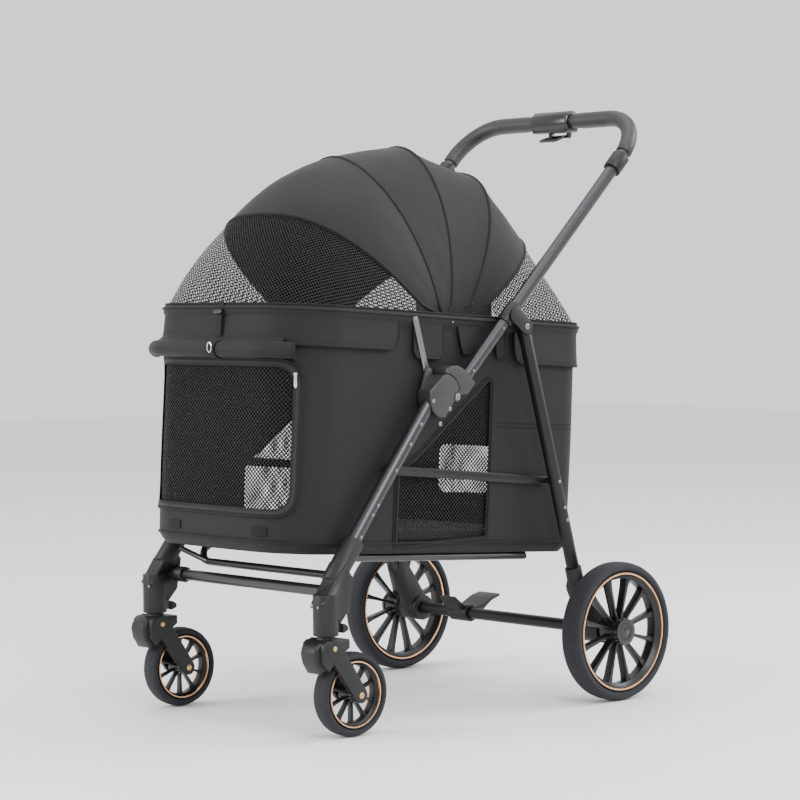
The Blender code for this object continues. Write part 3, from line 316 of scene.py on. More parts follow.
def leatherMaterial():
    material, tree, shader, coordinates = newMaterial("gripLeather", Coat_Weight=0.12, Coat_Roughness=0.35)
    leather = useGroup(tree, "leather", {"Vector": coordinates["UV"], "Size": 0.0020})
    colour = mixColour(tree, leather["Mask"], (0.004, 0.004, 0.0045, 1), (0.018, 0.0175, 0.0175, 1))
    tree.links.new(colour, shader.inputs["Base Color"])
    tree.links.new(calc(tree, "MULTIPLY_ADD", leather["Mask"], 0.25, 0.38), shader.inputs["Roughness"])
    addBump(tree, shader, leather["Height"], 0.55, 0.0006)
    return material


def tyreMaterial():
    material, tree, shader, coordinates = newMaterial("tyreRubber", Specular_IOR_Level=0.35)
    tread = useGroup(tree, "tread", {"Vector": coordinates["UV"], "Pitch": 0.0046})
    grain = useGroup(tree, "grain", {"Vector": coordinates["Object"], "Clouds": 25.0})
    # lighter bluish tone: random dust clouds, plus a painted highlight on the tread's raised tops, with painted shade
    # left in the grooves
    dustAndTreadHighlight = calc(tree, "MULTIPLY_ADD", grain["Mask"], 0.5, calc(tree, "MULTIPLY", tread["Height"], 0.35))
    tree.links.new(mixColour(tree, dustAndTreadHighlight, (0.004, 0.0045, 0.006, 1), (0.022, 0.024, 0.031, 1)),
                   shader.inputs["Base Color"])
    tree.links.new(calc(tree, "MULTIPLY_ADD", grain["Mask"], 0.2, 0.55), shader.inputs["Roughness"])
    addBump(tree, shader, tread["Height"], 0.8, 0.0012)
    return material


def zipMaterial():
    material, tree, shader, coordinates = newMaterial("zipTape", Specular_IOR_Level=0.25)
    split = put(tree, "ShaderNodeSeparateXYZ", {0: coordinates["UV"]})
    teeth = calc(tree, "SINE", calc(tree, "MULTIPLY", split.outputs[0], 2 * math.pi / 0.003))
    middle = calc(tree, "COMPARE", split.outputs[1], 0.0, 0.0022)
    height = calc(tree, "MULTIPLY", calc(tree, "MULTIPLY_ADD", teeth, 0.5, 0.5), middle)
    weave = useGroup(tree, "cloth", {"Vector": coordinates["UV"], "Colour": shade(0.006), "Thread": 0.0010})
    tree.links.new(mixColour(tree, calc(tree, "MULTIPLY", height, 0.6), weave["Colour"], shade(0.030)),
                   shader.inputs["Base Color"])
    tree.links.new(calc(tree, "MULTIPLY_ADD", middle, -0.25, 0.7), shader.inputs["Roughness"])
    addBump(tree, shader, calc(tree, "ADD", height, calc(tree, "MULTIPLY", weave["Height"], 0.2)), 0.8, 0.0010)
    return material


def floorMaterial():
    material, tree, shader, coordinates = newMaterial("studioFloor")
    grain = useGroup(tree, "grain", {"Vector": coordinates["Object"], "Clouds": 0.6})
    low = tuple(value * 0.97 for value in studio["floorColour"][:3]) + (1.0,)
    tree.links.new(mixColour(tree, grain["Mask"], studio["floorColour"], low), shader.inputs["Base Color"])
    tree.links.new(calc(tree, "MULTIPLY_ADD", grain["Mask"], 0.1, 0.5), shader.inputs["Roughness"])
    return material


finishes = {
    "gunmetal": mouldMaterial("gunmetalPaint", (0.050, 0.050, 0.053, 1), (0.10, 0.10, 0.105, 1), 0.34, 0.80, 0.25,
                              1400.0, 0.08, 0.25),
    "satinBlack": mouldMaterial("satinBlackPaint", shade(0.006), shade(0.022), 0.46, 0.25, 0.1, 1300.0, 0.1, 0.25),
    "moulding": mouldMaterial("blackMoulding", shade(0.0065), shade(0.022), 0.46, 0.0, 0.0, 800.0, 0.3, 0.3),
    "knuckle": mouldMaterial("greyMoulding", shade(0.030), shade(0.06), 0.42, 0.1, 0.1, 900.0, 0.25, 0.3),
    "gloss": mouldMaterial("glossMoulding", shade(0.005), shade(0.018), 0.22, 0.0, 0.4, 900.0, 0.05, 0.2),
    "steel": mouldMaterial("darkSteel", (0.20, 0.20, 0.21, 1), (0.45, 0.45, 0.46, 1), 0.30, 1.0, 0.0, 1500.0, 0.1,
                           0.4),
    "chrome": mouldMaterial("brightSteel", (0.62, 0.62, 0.63, 1), (0.4, 0.4, 0.4, 1), 0.20, 1.0, 0.0, 1500.0, 0.05,
                            0.3),
    "brass": mouldMaterial("brassBolt", (0.55, 0.36, 0.16, 1), (0.25, 0.17, 0.09, 1), 0.30, 1.0, 0.0, 1500.0, 0.1,
                           0.4),
    "copper": mouldMaterial("copperRing", (0.72, 0.40, 0.20, 1), (0.45, 0.24, 0.12, 1), 0.28, 0.9, 0.2, 1500.0,
                            0.05, 0.25),
    "rim": mouldMaterial("rimMoulding", shade(0.005), shade(0.018), 0.38, 0.0, 0.12, 900.0, 0.15, 0.3),
    "tyre": tyreMaterial(),
    "leather": leatherMaterial(),
    "canopy": clothMaterial("canopyCloth", shade(0.0085), 0.0012, 0.25, 0.05),
    "carrier": clothMaterial("carrierCloth", shade(0.0080), 0.0013, 0.28, 0.045),
    "piping": clothMaterial("pipingCloth", shade(0.004), 0.0010, 0.4, 0.02),
    "lining": clothMaterial("padCloth", shade(0.022), 0.0014, 0.35, 0.10),
    "webbing": clothMaterial("webbing", shade(0.004), 0.0022, 0.8, 0.02),
    "fleece": clothMaterial("hookPatch", shade(0.002), 0.0018, 0.9, 0.0),
    "net": netMaterial("canopyNet", shade(0.003), 0.0048, 0.345),
    "fineNet": netMaterial("windowNet", shade(0.0035), 0.0052, 0.36),
    "openNet": netMaterial("rearNet", shade(0.004), 0.0054, 0.43),
    "zip": zipMaterial(),
}
print("finishes ready:", len(finishes))

# ---- shapes: each is (points, faces, one uv in metres per point)


def joined(shapes):
    points, faces, uvs = [], [], []
    for somePoints, someFaces, someUvs in shapes:
        start = len(points)
        points += somePoints
        uvs += someUvs
        faces += [tuple(start + i for i in face) for face in someFaces]
    return points, faces, uvs


def makePiece(name, shape, finish, body, rounding=0.0, smoothAngle=40.0, thickness=0.0, subdivide=0, shift=True):
    points, faces, uvs = shape
    mesh = bpy.data.meshes.new(name)
    mesh.from_pydata([shifted(p) if shift else Vector(p) for p in points], [], faces)
    layer = mesh.uv_layers.new(name="flatSize")
    for loop in mesh.loops:
        layer.data[loop.index].uv = uvs[loop.vertex_index]
    mesh.materials.append(finishes[finish])
    piece = bpy.data.objects.new(name, mesh)
    bpy.context.scene.collection.objects.link(piece)
    finishPiece(piece, body, rounding, smoothAngle, thickness, subdivide)
    return piece


def finishPiece(piece, body, rounding=0.0, smoothAngle=40.0, thickness=0.0, subdivide=0):
    if rounding:
        bevel = piece.modifiers.new("rounded", "BEVEL")
        bevel.width, bevel.segments, bevel.limit_method = rounding, 2, "ANGLE"
        bevel.angle_limit = math.radians(smoothAngle)
        bevel.harden_normals = False
    if thickness:
        wall = piece.modifiers.new("thickness", "SOLIDIFY")
        wall.thickness, wall.offset = thickness, 0.0
    if subdivide:
        piece.modifiers.new("smoother", "SUBSURF").levels = subdivide
        piece.modifiers["smoother"].render_levels = subdivide
    if piece.modifiers:
        applyModifiers(piece)
    piece.data.polygons.foreach_set("use_smooth", [True] * len(piece.data.polygons))
    piece.data.set_sharp_from_angle(angle=math.radians(smoothAngle))
    if body:
        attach(piece, body)


def applyModifiers(piece):
    bpy.context.view_layer.update()
    seen = piece.evaluated_get(bpy.context.evaluated_depsgraph_get())
    mesh = bpy.data.meshes.new_from_object(seen)
    piece.modifiers.clear()
    piece.data = mesh


def softCopy(node, name, finish, rounding=0.0008, smoothAngle=42.0):
    source = frame["nodes"][node]
    piece = bpy.data.objects.new(name, source.data.copy())
    bpy.context.scene.collection.objects.link(piece)
    bm = bmesh.new()
    bm.from_mesh(piece.data)
    bmesh.ops.remove_doubles(bm, verts=bm.verts, dist=0.00001)
    bmesh.ops.dissolve_limit(bm, angle_limit=math.radians(1.5), verts=bm.verts, edges=bm.edges)
    bm.to_mesh(piece.data)
    bm.free()
    piece.data.materials.clear()
    piece.data.materials.append(finishes[finish])
    finishPiece(piece, bodyOf[node], rounding, smoothAngle)
    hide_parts(node)
    return piece


def declareCloth(piece, width, length, doubled=False):
    area = sum(face.area for face in piece.data.polygons) / (2 if doubled else 1)
    length = max(length, area / width)


def pathFrames(path, closed=False):
    path = [Vector(p) for p in path]
    count = len(path)
    tangents = []
    for i in range(count):
        before = path[(i - 1) % count] if closed or i else path[0]
        after = path[(i + 1) % count] if closed or i < count - 1 else path[-1]
        tangents.append((after - before).normalized())
    lead = tangents[0].orthogonal().normalized()
    frames = []
    for tangent in tangents:
        lead = (lead - tangent * lead.dot(tangent)).normalized()
        frames.append((lead, tangent.cross(lead)))
    return path, frames


def sweepTube(path, radius, around=24, closed=False, flatten=1.0):
    path, frames = pathFrames(path, closed)
    radii = radius if isinstance(radius, (list, tuple)) else [radius] * len(path)
    points, uvs, faces = [], [], []
    walked = 0.0
    for i, (centre, (first, second)) in enumerate(zip(path, frames)):
        if i:
            walked += (path[i] - path[i - 1]).length
        for j in range(around):
            angle = 2 * math.pi * j / around
            points.append(centre + (first * math.cos(angle) + second * math.sin(angle) * flatten) * radii[i])
            uvs.append((walked, j / around * 2 * math.pi * radii[i]))
    rings = len(path)
    for i in range(rings if closed else rings - 1):
        for j in range(around):
            a, b = i * around, (i + 1) % rings * around
            faces.append((a + j, a + (j + 1) % around, b + (j + 1) % around, b + j))
    if not closed:
        faces.append(tuple(range(around))[::-1])
        faces.append(tuple((rings - 1) * around + j for j in range(around)))
    return points, faces, uvs


def lathe(profile, centre, axis="x", around=64, closed=True, turn=0.0):
    # profile: (along the axis, radius) pairs
    points, uvs, faces = [], [], []
    walked = [0.0]
    for a, b in zip(profile, profile[1:]):
        walked.append(walked[-1] + math.dist(a, b))
    for step in range(around):
        angle = 2 * math.pi * step / around + turn
        for (along, radius), distance in zip(profile, walked):
            flat = (radius * math.cos(angle), radius * math.sin(angle))
            local = {"x": (along, *flat), "y": (flat[0], along, flat[1]), "z": (*flat, along)}[axis]
            points.append(Vector(centre) + Vector(local))
            uvs.append((step / around * 2 * math.pi * max(r for _, r in profile), distance))
    size = len(profile)
    for step in range(around):
        a, b = step * size, (step + 1) % around * size
        for i in range(size if closed else size - 1):
            faces.append((a + i, a + (i + 1) % size, b + (i + 1) % size, b + i))
    if not closed:
        for i in (0, size - 1):
            if profile[i][1] > 1e-5:
                faces.append(tuple(step * size + i for step in range(around)))
    return points, faces, uvs


def gridSheet(rows, closedRows=False):
    points = [Vector(p) for row in rows for p in row]
    size = len(rows[0])
    uvs, across = [], 0.0
    for r, row in enumerate(rows):
        if r:
            middle = size // 2
            across += (Vector(row[middle]) - Vector(rows[r - 1][middle])).length
        walked = 0.0
        for i, p in enumerate(row):
            if i:
                walked += (Vector(p) - Vector(row[i - 1])).length
            uvs.append((walked, across))
    faces = []
    last = size if closedRows else size - 1
    for r in range(len(rows) - 1):
        for i in range(last):
            a, b = r * size, (r + 1) * size
            faces.append((a + i, a + (i + 1) % size, b + (i + 1) % size, b + i))
    return points, faces, uvs


def slab(outline, low, high):
    # outline: (y, z) pairs, made solid between two x
    points = [Vector((x, y, z)) for x in (low, high) for y, z in outline]
    n = len(outline)
    faces = [tuple(range(n))[::-1], tuple(range(n, 2 * n))]
    faces += [(i, (i + 1) % n, (i + 1) % n + n, i + n) for i in range(n)]
    return points, faces, [(p.y, p.z) for p in points]


def along(pair, angle, distance):
    return (pair[0] + distance * math.cos(angle), pair[1] + distance * math.sin(angle))


def sidePoint(pair, x):
    return Vector((x, pair[0], pair[1]))


def roundedPath(points, radius, steps=14):
    path = [Vector(points[0])]
    for before, corner, after in zip(points, points[1:], points[2:]):
        before, corner, after = Vector(before), Vector(corner), Vector(after)
        toBefore, toAfter = (before - corner).normalized(), (after - corner).normalized()
        half = toBefore.angle(toAfter) / 2
        reach = radius / math.tan(half)
        centre = corner + (toBefore + toAfter).normalized() * radius / math.sin(half)
        start, end = corner + toBefore * reach - centre, corner + toAfter * reach - centre
        path += [centre + start.slerp(end, i / steps, start).normalized() * radius for i in range(steps + 1)]
    path.append(Vector(points[-1]))
    return path


def rivet(place, direction, radius=0.0042, height=0.0024):
    # a domed head with a flat rim, facing along direction
    turn = Vector((0, 0, 1)).rotation_difference(Vector(direction).normalized())
    profile = [(-0.001, radius), (height * 0.25, radius)]
    profile += [(height * (0.25 + 0.75 * math.sin(a)), radius * 0.92 * math.cos(a))
                for a in (0.0, 0.4, 0.8, 1.15, 1.45)]
    points, faces, uvs = lathe(profile, (0, 0, 0), "z", 16, closed=False)
    return [Vector(place) + turn @ p for p in points], faces, uvs


# ---- tubes of the frame

tubeFrame = {
    "spread": 0.220, "frontRadius": 0.0118, "frontFoot": (-0.314, 0.301), "frontAngle": 52.1, "frontDown": 0.064,
    "frontUp": 0.316, "frontSway": 0.0025, "hinge": (-0.0875, 0.536), "upperRadius": 0.0112, "upperAngle": 44.3,
    "upperStart": 0.023, "upperEnd": 0.568, "legPivot": (0.0745, 0.650), "legX": 0.2285, "legRadius": 0.0114,
    "legAngle": -74.2, "legStart": 0.017, "legEnd": 0.470,
}
handle = {"rise": 50.4, "reach": 0.093, "corner": 0.086, "collar": 0.034, "gripWall": 0.0030,
          "triggerHalf": 0.046}


def frontAxis(distance):
    return along(tubeFrame["frontFoot"], math.radians(tubeFrame["frontAngle"]), distance)


def upperAxis(distance):
    return along(tubeFrame["hinge"], math.radians(tubeFrame["upperAngle"]), distance)


def legAxis(distance):
    return along(tubeFrame["legPivot"], math.radians(tubeFrame["legAngle"]), distance)


def handlePath(fromReach=0.0):
    bend = upperAxis(tubeFrame["upperEnd"] + handle["collar"] / 2 + 0.004)
    rise = math.radians(handle["rise"])
    top, start = along(bend, rise, handle["reach"]), along(bend, rise, fromReach)
    x = tubeFrame["spread"]
    corners = [sidePoint(start, x), sidePoint(top, x), sidePoint(top, -x), sidePoint(start, -x)]
    return roundedPath(corners, handle["corner"])


def buildTubes():
    f = tubeFrame
    for side, sign in sides:
        path = []
        for i in range(17):
            t = i / 16
            y, z = frontAxis(-f["frontDown"] + t * (f["frontDown"] + f["frontUp"]))
            path.append((sign * f["spread"], y - f["frontSway"] * math.sin(math.pi * t), z))
        tube = makePiece("frontTube." + side, sweepTube(path, f["frontRadius"], 32), "gunmetal", "chassis")
        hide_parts("front_tube_" + side)
        path = [sidePoint(upperAxis(f["upperStart"] + t * (f["upperEnd"] - f["upperStart"])), sign * f["spread"])
                for t in (0, 0.5, 1)]
        tube = makePiece("upperTube." + side, sweepTube(path, f["upperRadius"], 32), "gunmetal", "upper_frame")
        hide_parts("upper_tube_" + side)
        softCopy("rear_leg_" + side, "rearLeg." + side, "satinBlack", 0.0006)
    root = upperAxis(f["upperEnd"] + 0.0004)
    path = [sidePoint(root, f["spread"])] + handlePath() + [sidePoint(root, -f["spread"])]
    bar = makePiece("handleBar", sweepTube(path, f["upperRadius"], 32), "gunmetal", "upper_frame")
    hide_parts("handle_bar")
    for side, sign in sides:
        half = [p for p in handlePath(0.006) if p.x * sign > 0]
        if sign < 0:
            half.reverse()
        endX = handle["triggerHalf"] + 0.0004
        last = half[-1]
        half += [Vector((sign * (endX + (abs(last.x) - endX) * t), last.y, last.z)) for t in (0.75, 0.5, 0.25, 0)]
        radius = f["upperRadius"] + handle["gripWall"]
        count = len(half)
        radii = [radius - 0.0012 * (i in (0, count - 1)) for i in range(count)]
        cover = makePiece("leatherGrip." + side, sweepTube(half, radii, 36), "leather", "upper_frame",
                          smoothAngle=60)
        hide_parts("grip_" + side)
        seam = [p + Vector((0, 0.25, -1)).normalized() * (radius + 0.0001) for p in half[1:-1]]
        makePiece("gripSeam." + side, sweepTube(seam, 0.0007, 8), "webbing", "upper_frame")


def buildRivets():
    f = tubeFrame
    byBody = {"chassis": [], "upper_frame": [], "rear_legs": []}
    for side, sign in sides:
        out = Vector((sign, 0, 0))
        spots = [(-0.166, 0.494), (-0.190, 0.462), (-0.2215, 0.4209), (-0.262, 0.367), (-0.274, 0.352),
                 (-0.300, 0.318)]
        for y, z in spots:
            byBody["chassis"].append(rivet((sign * (f["spread"] + f["frontRadius"] - 0.0008), y, z), out, 0.0032,
                                           0.0020))
        for distance in (0.06, 0.16):
            y, z = upperAxis(distance)
            byBody["upper_frame"].append(rivet((sign * (f["spread"] + f["upperRadius"] - 0.0008), y, z), out,
                                               0.0028, 0.0018))
        for distance in (0.2775, 0.325, 0.348, 0.445):
            y, z = legAxis(distance)
            byBody["rear_legs"].append(rivet((sign * (f["legX"] + f["legRadius"] - 0.0008), y, z), out, 0.0034,
                                             0.0022))
        low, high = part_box("knuckle_lower_" + side)
        outX = max(abs(low.x), abs(high.x))
        for y, z in ((-0.105, 0.517), (-0.142, 0.531), (-0.127, 0.493)):
            byBody["chassis"].append(rivet((sign * (outX - 0.0012), y, z), out, 0.0042, 0.0022))
        low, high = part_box("knuckle_upper_" + side)
        outX = max(abs(low.x), abs(high.x))
        byBody["upper_frame"].append(rivet((sign * (outX - 0.0006), *f["hinge"]), out, 0.0062, 0.0028))
        low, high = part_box("leg_bracket_" + side)
        outX = max(abs(low.x), abs(high.x))
        byBody["upper_frame"].append(rivet((sign * (outX - 0.0005), *f["legPivot"]), out, 0.0056, 0.0028))
        low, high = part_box("rail_link_" + side)
        outX = max(abs(low.x), abs(high.x))
        byBody["chassis"].append(rivet((sign * (outX - 0.0005), -0.154, 0.6665), out, 0.0042, 0.0024))
        byBody["chassis"].append(rivet((sign * (outX - 0.0005), -0.129, 0.5765), out, 0.0055, 0.0040))
        front = sign * f["spread"]
        for x in (-0.008, 0.008):
            byBody["chassis"].append(rivet((front + x, -0.3905, 0.213), (0, -1, 0), 0.0026, 0.0018))
    for body, shapes in byBody.items():
        makePiece("rivets." + body, joined(shapes), "steel", body)


def buildMouldings():
    for side, _ in sides:
        softCopy("knuckle_lower_" + side, "knuckleLower." + side, "knuckle", 0.0016)
        softCopy("knuckle_upper_" + side, "knuckleUpper." + side, "knuckle", 0.0014)
        softCopy("rail_link_" + side, "railLink." + side, "steel", 0.0006)
        softCopy("handle_collar_" + side, "handleCollar." + side, "moulding", 0.0012)
        softCopy("leg_bracket_" + side, "legBracket." + side, "moulding", 0.0010)
        softCopy("rear_foot_" + side, "rearFoot." + side, "moulding", 0.0012)
        softCopy("brace_" + side, "braceBar." + side, "satinBlack", 0.0005)
        softCopy("caster_housing_" + side, "casterHousing." + side, "moulding", 0.0014)
        softCopy("caster_fork_" + side, "casterFork." + side, "moulding", 0.0010)
        softCopy("swivel_lock_" + side, "swivelLock." + side, "moulding", 0.0006)
    softCopy("front_crossbar", "frontCrossbar", "gunmetal", 0.0)
    softCopy("carrier_cradle", "carrierCradle", "gunmetal", 0.0)
    softCopy("rim_rail", "rimRail", "steel", 0.0)
    softCopy("trigger_housing", "triggerHousing", "gloss", 0.0022)
    softCopy("fold_trigger", "foldTrigger", "gloss", 0.0010)
    softCopy("rear_axle_tube", "rearAxleTube", "satinBlack", 0.0)
    softCopy("brake_pedal", "brakePedal", "moulding", 0.0010)


# ---- wheels

rearWheel = {"x": 0.278, "y": 0.2485, "radius": 0.120, "halfWidth": 0.021, "bead": 0.1035, "rimDepth": 0.0125,
             "hub": 0.022, "hubHalf": 0.024, "spokes": 12, "bladeHub": 0.0052, "bladeRim": 0.0085, "bladeHalf": 0.0075,
             "copper": 0.1003, "copperWidth": 0.0018, "cap": 0.0235}
frontWheel = {"x": 0.223, "y": -0.3195, "radius": 0.068, "halfWidth": 0.0165, "bead": 0.0550, "rimDepth": 0.0080,
              "hub": 0.012, "hubHalf": 0.0165, "spokes": 10, "bladeHub": 0.0032, "bladeRim": 0.0050,
              "bladeHalf": 0.0055, "copper": 0.0525, "copperWidth": 0.0013, "cap": 0.0125}


def buildWheel(wheel, place, side, sign):
    w = wheel
    centre = (sign * w["x"], w["y"], w["radius"])
    body = place + "_wheel_" + side
    half, bead, outer = w["halfWidth"], w["bead"], w["radius"]
    # tyre section from the inner bead over the crown
    section = [(-half * 0.62, bead + 0.0006), (-half * 0.86, bead + 0.002),
               (-half * 0.98, bead + (outer - bead) * 0.35)]
    for i in range(9):
        angle = math.pi * (i / 8)
        section.append((-half * math.cos(angle) * 0.97, bead + (outer - bead) * (0.55 + 0.45 * math.sin(angle) ** 0.7)
                        if 0 < i < 8 else bead + (outer - bead) * 0.55))
    section += [(half * 0.98, bead + (outer - bead) * 0.35), (half * 0.86, bead + 0.002), (half * 0.62, bead + 0.0006)]
    tyre = makePiece(f"{place}Tyre.{side}", lathe(section, centre, around=120), "tyre", body, smoothAngle=50)
    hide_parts(f"{place}_tyre_{side}")
    depth = w["rimDepth"]
    wide = half * 0.80
    band = [(-wide, bead - 0.0002), (-wide, bead - depth * 0.35), (-wide * 0.72, bead - depth * 0.55),
            (-wide * 0.50, bead - depth), (wide * 0.50, bead - depth), (wide * 0.72, bead - depth * 0.55),
            (wide, bead - depth * 0.35), (wide, bead - 0.0002), (wide * 0.3, bead), (-wide * 0.3, bead)]
    shapes = [lathe(band, centre, around=96)]
    hub = [(-w["hubHalf"], w["hub"] * 0.40), (-w["hubHalf"], w["hub"] * 0.85), (-w["hubHalf"] * 0.8, w["hub"]),
           (w["hubHalf"] * 0.8, w["hub"]), (w["hubHalf"], w["hub"] * 0.85), (w["hubHalf"], w["hub"] * 0.40)]
    shapes.append(lathe(hub, centre, around=40))
    start, end = w["hub"] - 0.002, bead - depth + 0.0015
    for i in range(w["spokes"]):
        angle = 2 * math.pi * (i + 0.5) / w["spokes"]
        outline = []
        for distance, spread in ((start, w["bladeHub"]), (start + (end - start) * 0.3, w["bladeHub"] * 0.9),
                                 (start + (end - start) * 0.8, w["bladeRim"] * 0.85), (end, w["bladeRim"] * 1.35)):
            outline.append((distance, spread / 2))
        outline += [(d, -s) for d, s in reversed(outline)]
        turned = [(centre[1] + d * math.cos(angle) - s * math.sin(angle), centre[2] + d * math.sin(angle)
                   + s * math.cos(angle)) for d, s in outline]
        shapes.append(slab(turned, centre[0] - w["bladeHalf"], centre[0] + w["bladeHalf"]))
    rim = makePiece(f"{place}Rim.{side}", joined(shapes), "rim", body, rounding=0.0008, smoothAngle=35)
    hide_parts(f"{place}_rim_{side}")
    copper, spread = w["copper"], w["copperWidth"]
    rings = []
    for face in (-1, 1):
        x = face * (wide + 0.0002)
        ring = [(x - face * 0.002, copper - spread), (x + face * 0.0008, copper - spread * 0.7),
                (x + face * 0.0008, copper + spread * 0.7), (x - face * 0.002, copper + spread)]
        rings.append(lathe(ring, centre, around=96))
    makePiece(f"{place}TrimRing.{side}", joined(rings), "copper", body, smoothAngle=50)
    caps = []
    for face in ((sign,) if place == "rear" else (1, -1)):
        x = face * (w["hubHalf"] - 0.0005)
        cap = w["cap"]
        profile = [(x - face * 0.006, cap * 0.98), (x - face * 0.002, cap), (x + face * 0.0002, cap * 0.96),
                   (x + face * 0.0006, cap * 0.72), (x - face * 0.0006, cap * 0.66), (x - face * 0.0002, cap * 0.40),
                   (x + face * 0.0004, cap * 0.34), (x + face * 0.0004, 0.0006)]
        if face < 0:
            profile = profile[::-1]
        caps.append(lathe(profile, centre, around=40, closed=False))
    makePiece(f"{place}HubCap.{side}", joined(caps), "gloss", body, smoothAngle=35)
    if place == "front":
        forkLow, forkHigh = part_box("caster_fork_" + side)
        bolts = []
        for x, face in ((forkHigh.x, 1), (forkLow.x, -1)):
            bolts.append(rivet((x - face * 0.0004, centre[1], centre[2]), (face, 0, 0), 0.0052, 0.0022))
            bolts.append(rivet((x - face * 0.0004, -0.375, 0.148), (face, 0, 0), 0.0042, 0.0018))
        makePiece(f"axleBolts.{side}", joined(bolts), "brass", "caster_" + side)


# ---- the carrier

carrier = {"centre": (-0.0745, 0.6643), "tilt": 3.7, "halfLength": 0.332, "halfWidth": 0.1975, "depth": 0.389,
           "frontCorner": 0.090, "rearCorner": 0.042, "bulge": 0.012, "railRadius": 0.0055, "cell": 0.006}
tilt = math.radians(carrier["tilt"])


def carrierPoint(x, y, z):
    return Vector((x, carrier["centre"][0] + y * math.cos(tilt) + z * math.sin(tilt),
                   carrier["centre"][1] - y * math.sin(tilt) + z * math.cos(tilt)))


def buildPlan():
    c = carrier
    points = []
    flat = c["halfWidth"] - c["frontCorner"]
    points += [(flat * i / 12, -c["halfLength"]) for i in range(12)]
    for i in range(25):
        angle = math.radians(-90 + 90 * i / 24)
        points.append((flat + c["frontCorner"] * math.cos(angle),
                       -(c["halfLength"] - c["frontCorner"]) + c["frontCorner"] * math.sin(angle)))
    sideLength = 2 * c["halfLength"] - c["frontCorner"] - c["rearCorner"]
    start = points[-1][1]
    points += [(c["halfWidth"], start + sideLength * i / 60) for i in range(1, 60)]
    flatRear = c["halfWidth"] - c["rearCorner"]
    for i in range(13):
        angle = math.radians(90 * i / 12)
        points.append((flatRear + c["rearCorner"] * math.cos(angle),
                       c["halfLength"] - c["rearCorner"] + c["rearCorner"] * math.sin(angle)))
    points += [(flatRear * (1 - i / 16), c["halfLength"]) for i in range(1, 17)]
    return [(x, y + (c["bulge"] * (x / c["halfWidth"]) ** 2 if y < -(c["halfLength"] - c["frontCorner"]) - 1e-9
                     else c["bulge"] * max(0.0, 1 - (y + c["halfLength"] - c["frontCorner"]) / 0.2) if y < -0.042
                     else 0.0)) for x, y in points]


plan = buildPlan()
planWalk = [0.0]
for planA, planB in zip(plan, plan[1:]):
    planWalk.append(planWalk[-1] + math.dist(planA, planB))
planEnd = planWalk[-1]  # half way round, at the middle of the rear


def planAt(u):
    side = 1 if u >= 0 else -1
    u = min(abs(u), planEnd)
    low, high = 0, len(planWalk) - 1
    while high - low > 1:
        middle = (low + high) // 2
        if planWalk[middle] <= u:
            low = middle
        else:
            high = middle
    t = (u - planWalk[low]) / (planWalk[high] - planWalk[low])
    (ax, ay), (bx, by) = plan[low], plan[high]
    length = math.dist(plan[low], plan[high])
    return side * (ax + (bx - ax) * t), ay + (by - ay) * t, side * (by - ay) / length, -(bx - ax) / length


def wallPoint(u, h, offset=0.0):
    # u: distance round the rim from the front middle, + to the left; h: height above the rim, minus is down
    x, y, nx, ny = planAt(u)
    foot = max(0.0, 1 - (h + carrier["depth"]) / 0.020)
    inset = -0.012 * foot ** 2
    middle = math.sin(math.pi * min(1.0, max(0.0, -h / carrier["depth"])))
    slack = 0.0012 * noise.noise(Vector((u * 6.0, h * 5.0, 2.7))) * middle + 0.0010 * middle
    return carrierPoint(x + nx * (offset + inset + slack), y + ny * (offset + inset + slack), h)


def uAtSide(y):
    # the distance round to a world y on the side wall
    local = (y - carrier["centre"][0]) / math.cos(tilt)
    for i, (x, py) in enumerate(plan):
        if x > 0.19 and py >= local:
            return planWalk[i] - (py - local)
    return planEnd


def hAt(u, z):
    _, y, _, _ = planAt(u)
    return (z - carrier["centre"][1] + y * math.sin(tilt)) / math.cos(tilt)


def roundedOutline(corners, radius, steps=6):
    # a closed (u, h) polygon with round corners
    out = []
    n = len(corners)
    for i in range(n):
        before, corner, after = (Vector((*corners[(i + k) % n], 0)) for k in (-1, 0, 1))
        toBefore, toAfter = (before - corner).normalized(), (after - corner).normalized()
        half = toBefore.angle(toAfter) / 2
        reach = min(radius / math.tan(half), (before - corner).length * 0.45, (after - corner).length * 0.45)
        for k in range(steps + 1):
            t = k / steps
            p = (corner + toBefore * reach) * (1 - t) ** 2 + corner * 2 * t * (1 - t)
            p = p + (corner + toAfter * reach) * t * t
            out.append((p.x, p.y))
    return out


def inside(point, outline):
    x, y = point
    found = False
    for (ax, ay), (bx, by) in zip(outline, outline[1:] + outline[:1]):
        if (ay > y) != (by > y) and x < (bx - ax) * (y - ay) / (by - ay) + ax:
            found = not found
    return found


def denser(outline, step=0.008, closed=True):
    out = []
    pairs = list(zip(outline, outline[1:] + outline[:1])) if closed else list(zip(outline, outline[1:]))
    for (ax, ay), (bx, by) in pairs:
        parts = max(1, int(math.dist((ax, ay), (bx, by)) / step))
        out += [(ax + (bx - ax) * k / parts, ay + (by - ay) * k / parts) for k in range(parts)]
    return out if closed else out + [outline[-1]]


windows = {
    "front": {"half": 0.180, "bottomZ": 0.360, "topZ": 0.600, "corner": 0.038},
    "side": {"frontY": -0.174, "rearY": 0.036, "bottomZ": 0.292, "topZ": 0.572, "kneeY": -0.132, "kneeZ": 0.440,
             "lowKneeZ": 0.415, "corner": 0.010},
    "rear": {"half": 0.165, "bottomZ": 0.335, "topZ": 0.435, "corner": 0.025},
}


